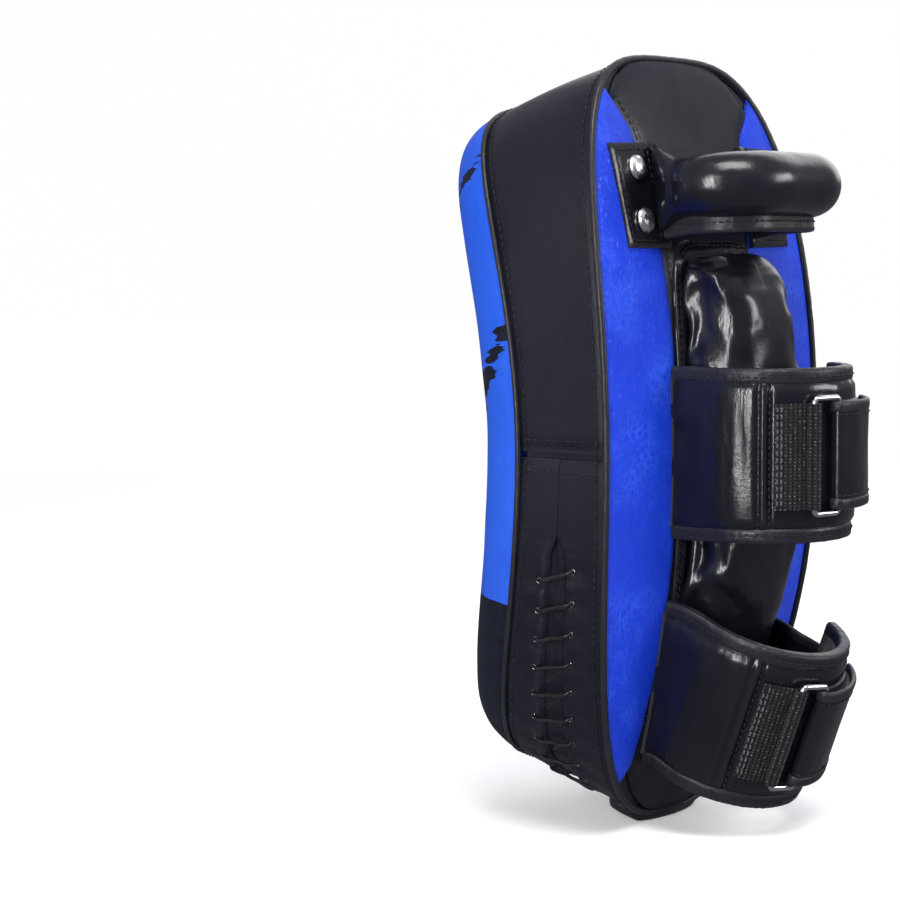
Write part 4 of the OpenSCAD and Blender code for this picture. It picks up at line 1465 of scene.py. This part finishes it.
def studio():
    n = 48
    around = [(cos(2 * pi * i / n), sin(2 * pi * i / n)) for i in range(n)]
    b = Build()
    base = b.grid([[Vector((r * c, r * s, 0)) for c, s in around] for r in (0.5, 1.2, 3.0, 9.0)], around=True)
    b.fan([base + j for j in range(n)], Vector((0, 0, 0)))
    m = Mat("floor_paper")
    away = m.n("ShaderNodeVectorMath", operation="LENGTH")
    m.link(m.coords(), away.inputs[0])
    far = m.span(away.outputs["Value"], 0.75, 2.2)
    col = m.mix(m.noise(6, 3), (0.86, 0.86, 0.865), (0.89, 0.89, 0.89))
    m.out(col, m.span(m.noise(40, 3), 0.3, 0.7, 0.7, 0.85),
          Emission_Color=(*WHITE, 1), Emission_Strength=0.22)
    white = m.n("ShaderNodeEmission", Strength=1.0, Color=(*WHITE, 1))
    mixer = m.n("ShaderNodeMixShader")
    m.link(far, mixer.inputs[0])
    m.link(m.b.outputs[0], mixer.inputs[1])
    m.link(white.outputs[0], mixer.inputs[2])
    m.link(mixer.outputs[0], m.t.nodes["Material Output"].inputs["Surface"])
    fl = b.make("floor", m.mat, closed=False)
    if fl.data.polygons[0].normal.z < 0:
        fl.data.flip_normals()
    fl.visible_glossy = False
    # a white dome that only the camera sees
    sky = Build()
    arc = [(DOME * cos(radians(q)), DOME * sin(radians(q)) - 0.02) for q in range(0, 90, 6)]
    base = sky.grid([[Vector((r * c, r * s, z)) for c, s in around] for r, z in arc], around=True)
    sky.fan([base + (len(arc) - 1) * n + j for j in range(n)], Vector((0, 0, DOME)))
    m = Mat("backdrop_white")
    white = m.n("ShaderNodeEmission", Strength=1.0)
    m.link(m.mix(m.noise(0.4, 2), WHITE, (0.99, 0.99, 0.99)), white.inputs["Color"])
    m.link(white.outputs[0], m.t.nodes["Material Output"].inputs["Surface"])
    dome = sky.make("backdrop", m.mat, closed=False)
    dome.visible_glossy = dome.visible_diffuse = dome.visible_shadow = dome.visible_transmission = False
    world = bpy.data.worlds.new("studio")
    bpy.context.scene.world = world
    world.use_nodes = True
    t = world.node_tree
    co = t.nodes.new("ShaderNodeTexCoord")
    sepz = t.nodes.new("ShaderNodeSeparateXYZ")
    ramp = t.nodes.new("ShaderNodeValToRGB")
    t.links.new(co.outputs["Generated"], sepz.inputs[0])
    mr = t.nodes.new("ShaderNodeMapRange")
    mr.inputs["From Min"].default_value, mr.inputs["From Max"].default_value = -0.3, 0.7
    t.links.new(sepz.outputs["Z"], mr.inputs["Value"])
    t.links.new(mr.outputs[0], ramp.inputs[0])
    e = ramp.color_ramp.elements
    e[0].position, e[0].color = 0.3, DIM
    e[1].position, e[1].color = 0.8, PALE
    t.links.new(ramp.outputs["Color"], t.nodes["Background"].inputs["Color"])
    t.nodes["Background"].inputs["Strength"].default_value = 1.0


def soft_box(name, az, el, dist, sx, sy, power):
    """An area light of sx by sy metres at a distance from the part, facing it."""
    data = bpy.data.lights.new(name, "AREA")
    data.shape, data.size, data.size_y, data.energy = "RECTANGLE", sx, sy, power
    ob = bpy.data.objects.new(name, data)
    bpy.context.scene.collection.objects.link(ob)
    back = toward(az, el)
    ob.location = Vector((0, 0.03, 0.2)) + back * dist
    ob.rotation_euler = back.to_track_quat("Z", "Y").to_euler()


studio()
soft_box("key_left", 104, 12, 2.0, 0.26, 1.2, 34)
soft_box("side_strip", 52, 10, 2.0, 0.16, 1.3, 2.5)
soft_box("overhead", 140, 66, 1.7, 0.8, 0.8, 26)
soft_box("fill_right", 210, 18, 2.0, 0.95, 0.5, 17)
soft_box("front_fill", 290, 30, 2.4, 2.2, 2.0, 20)
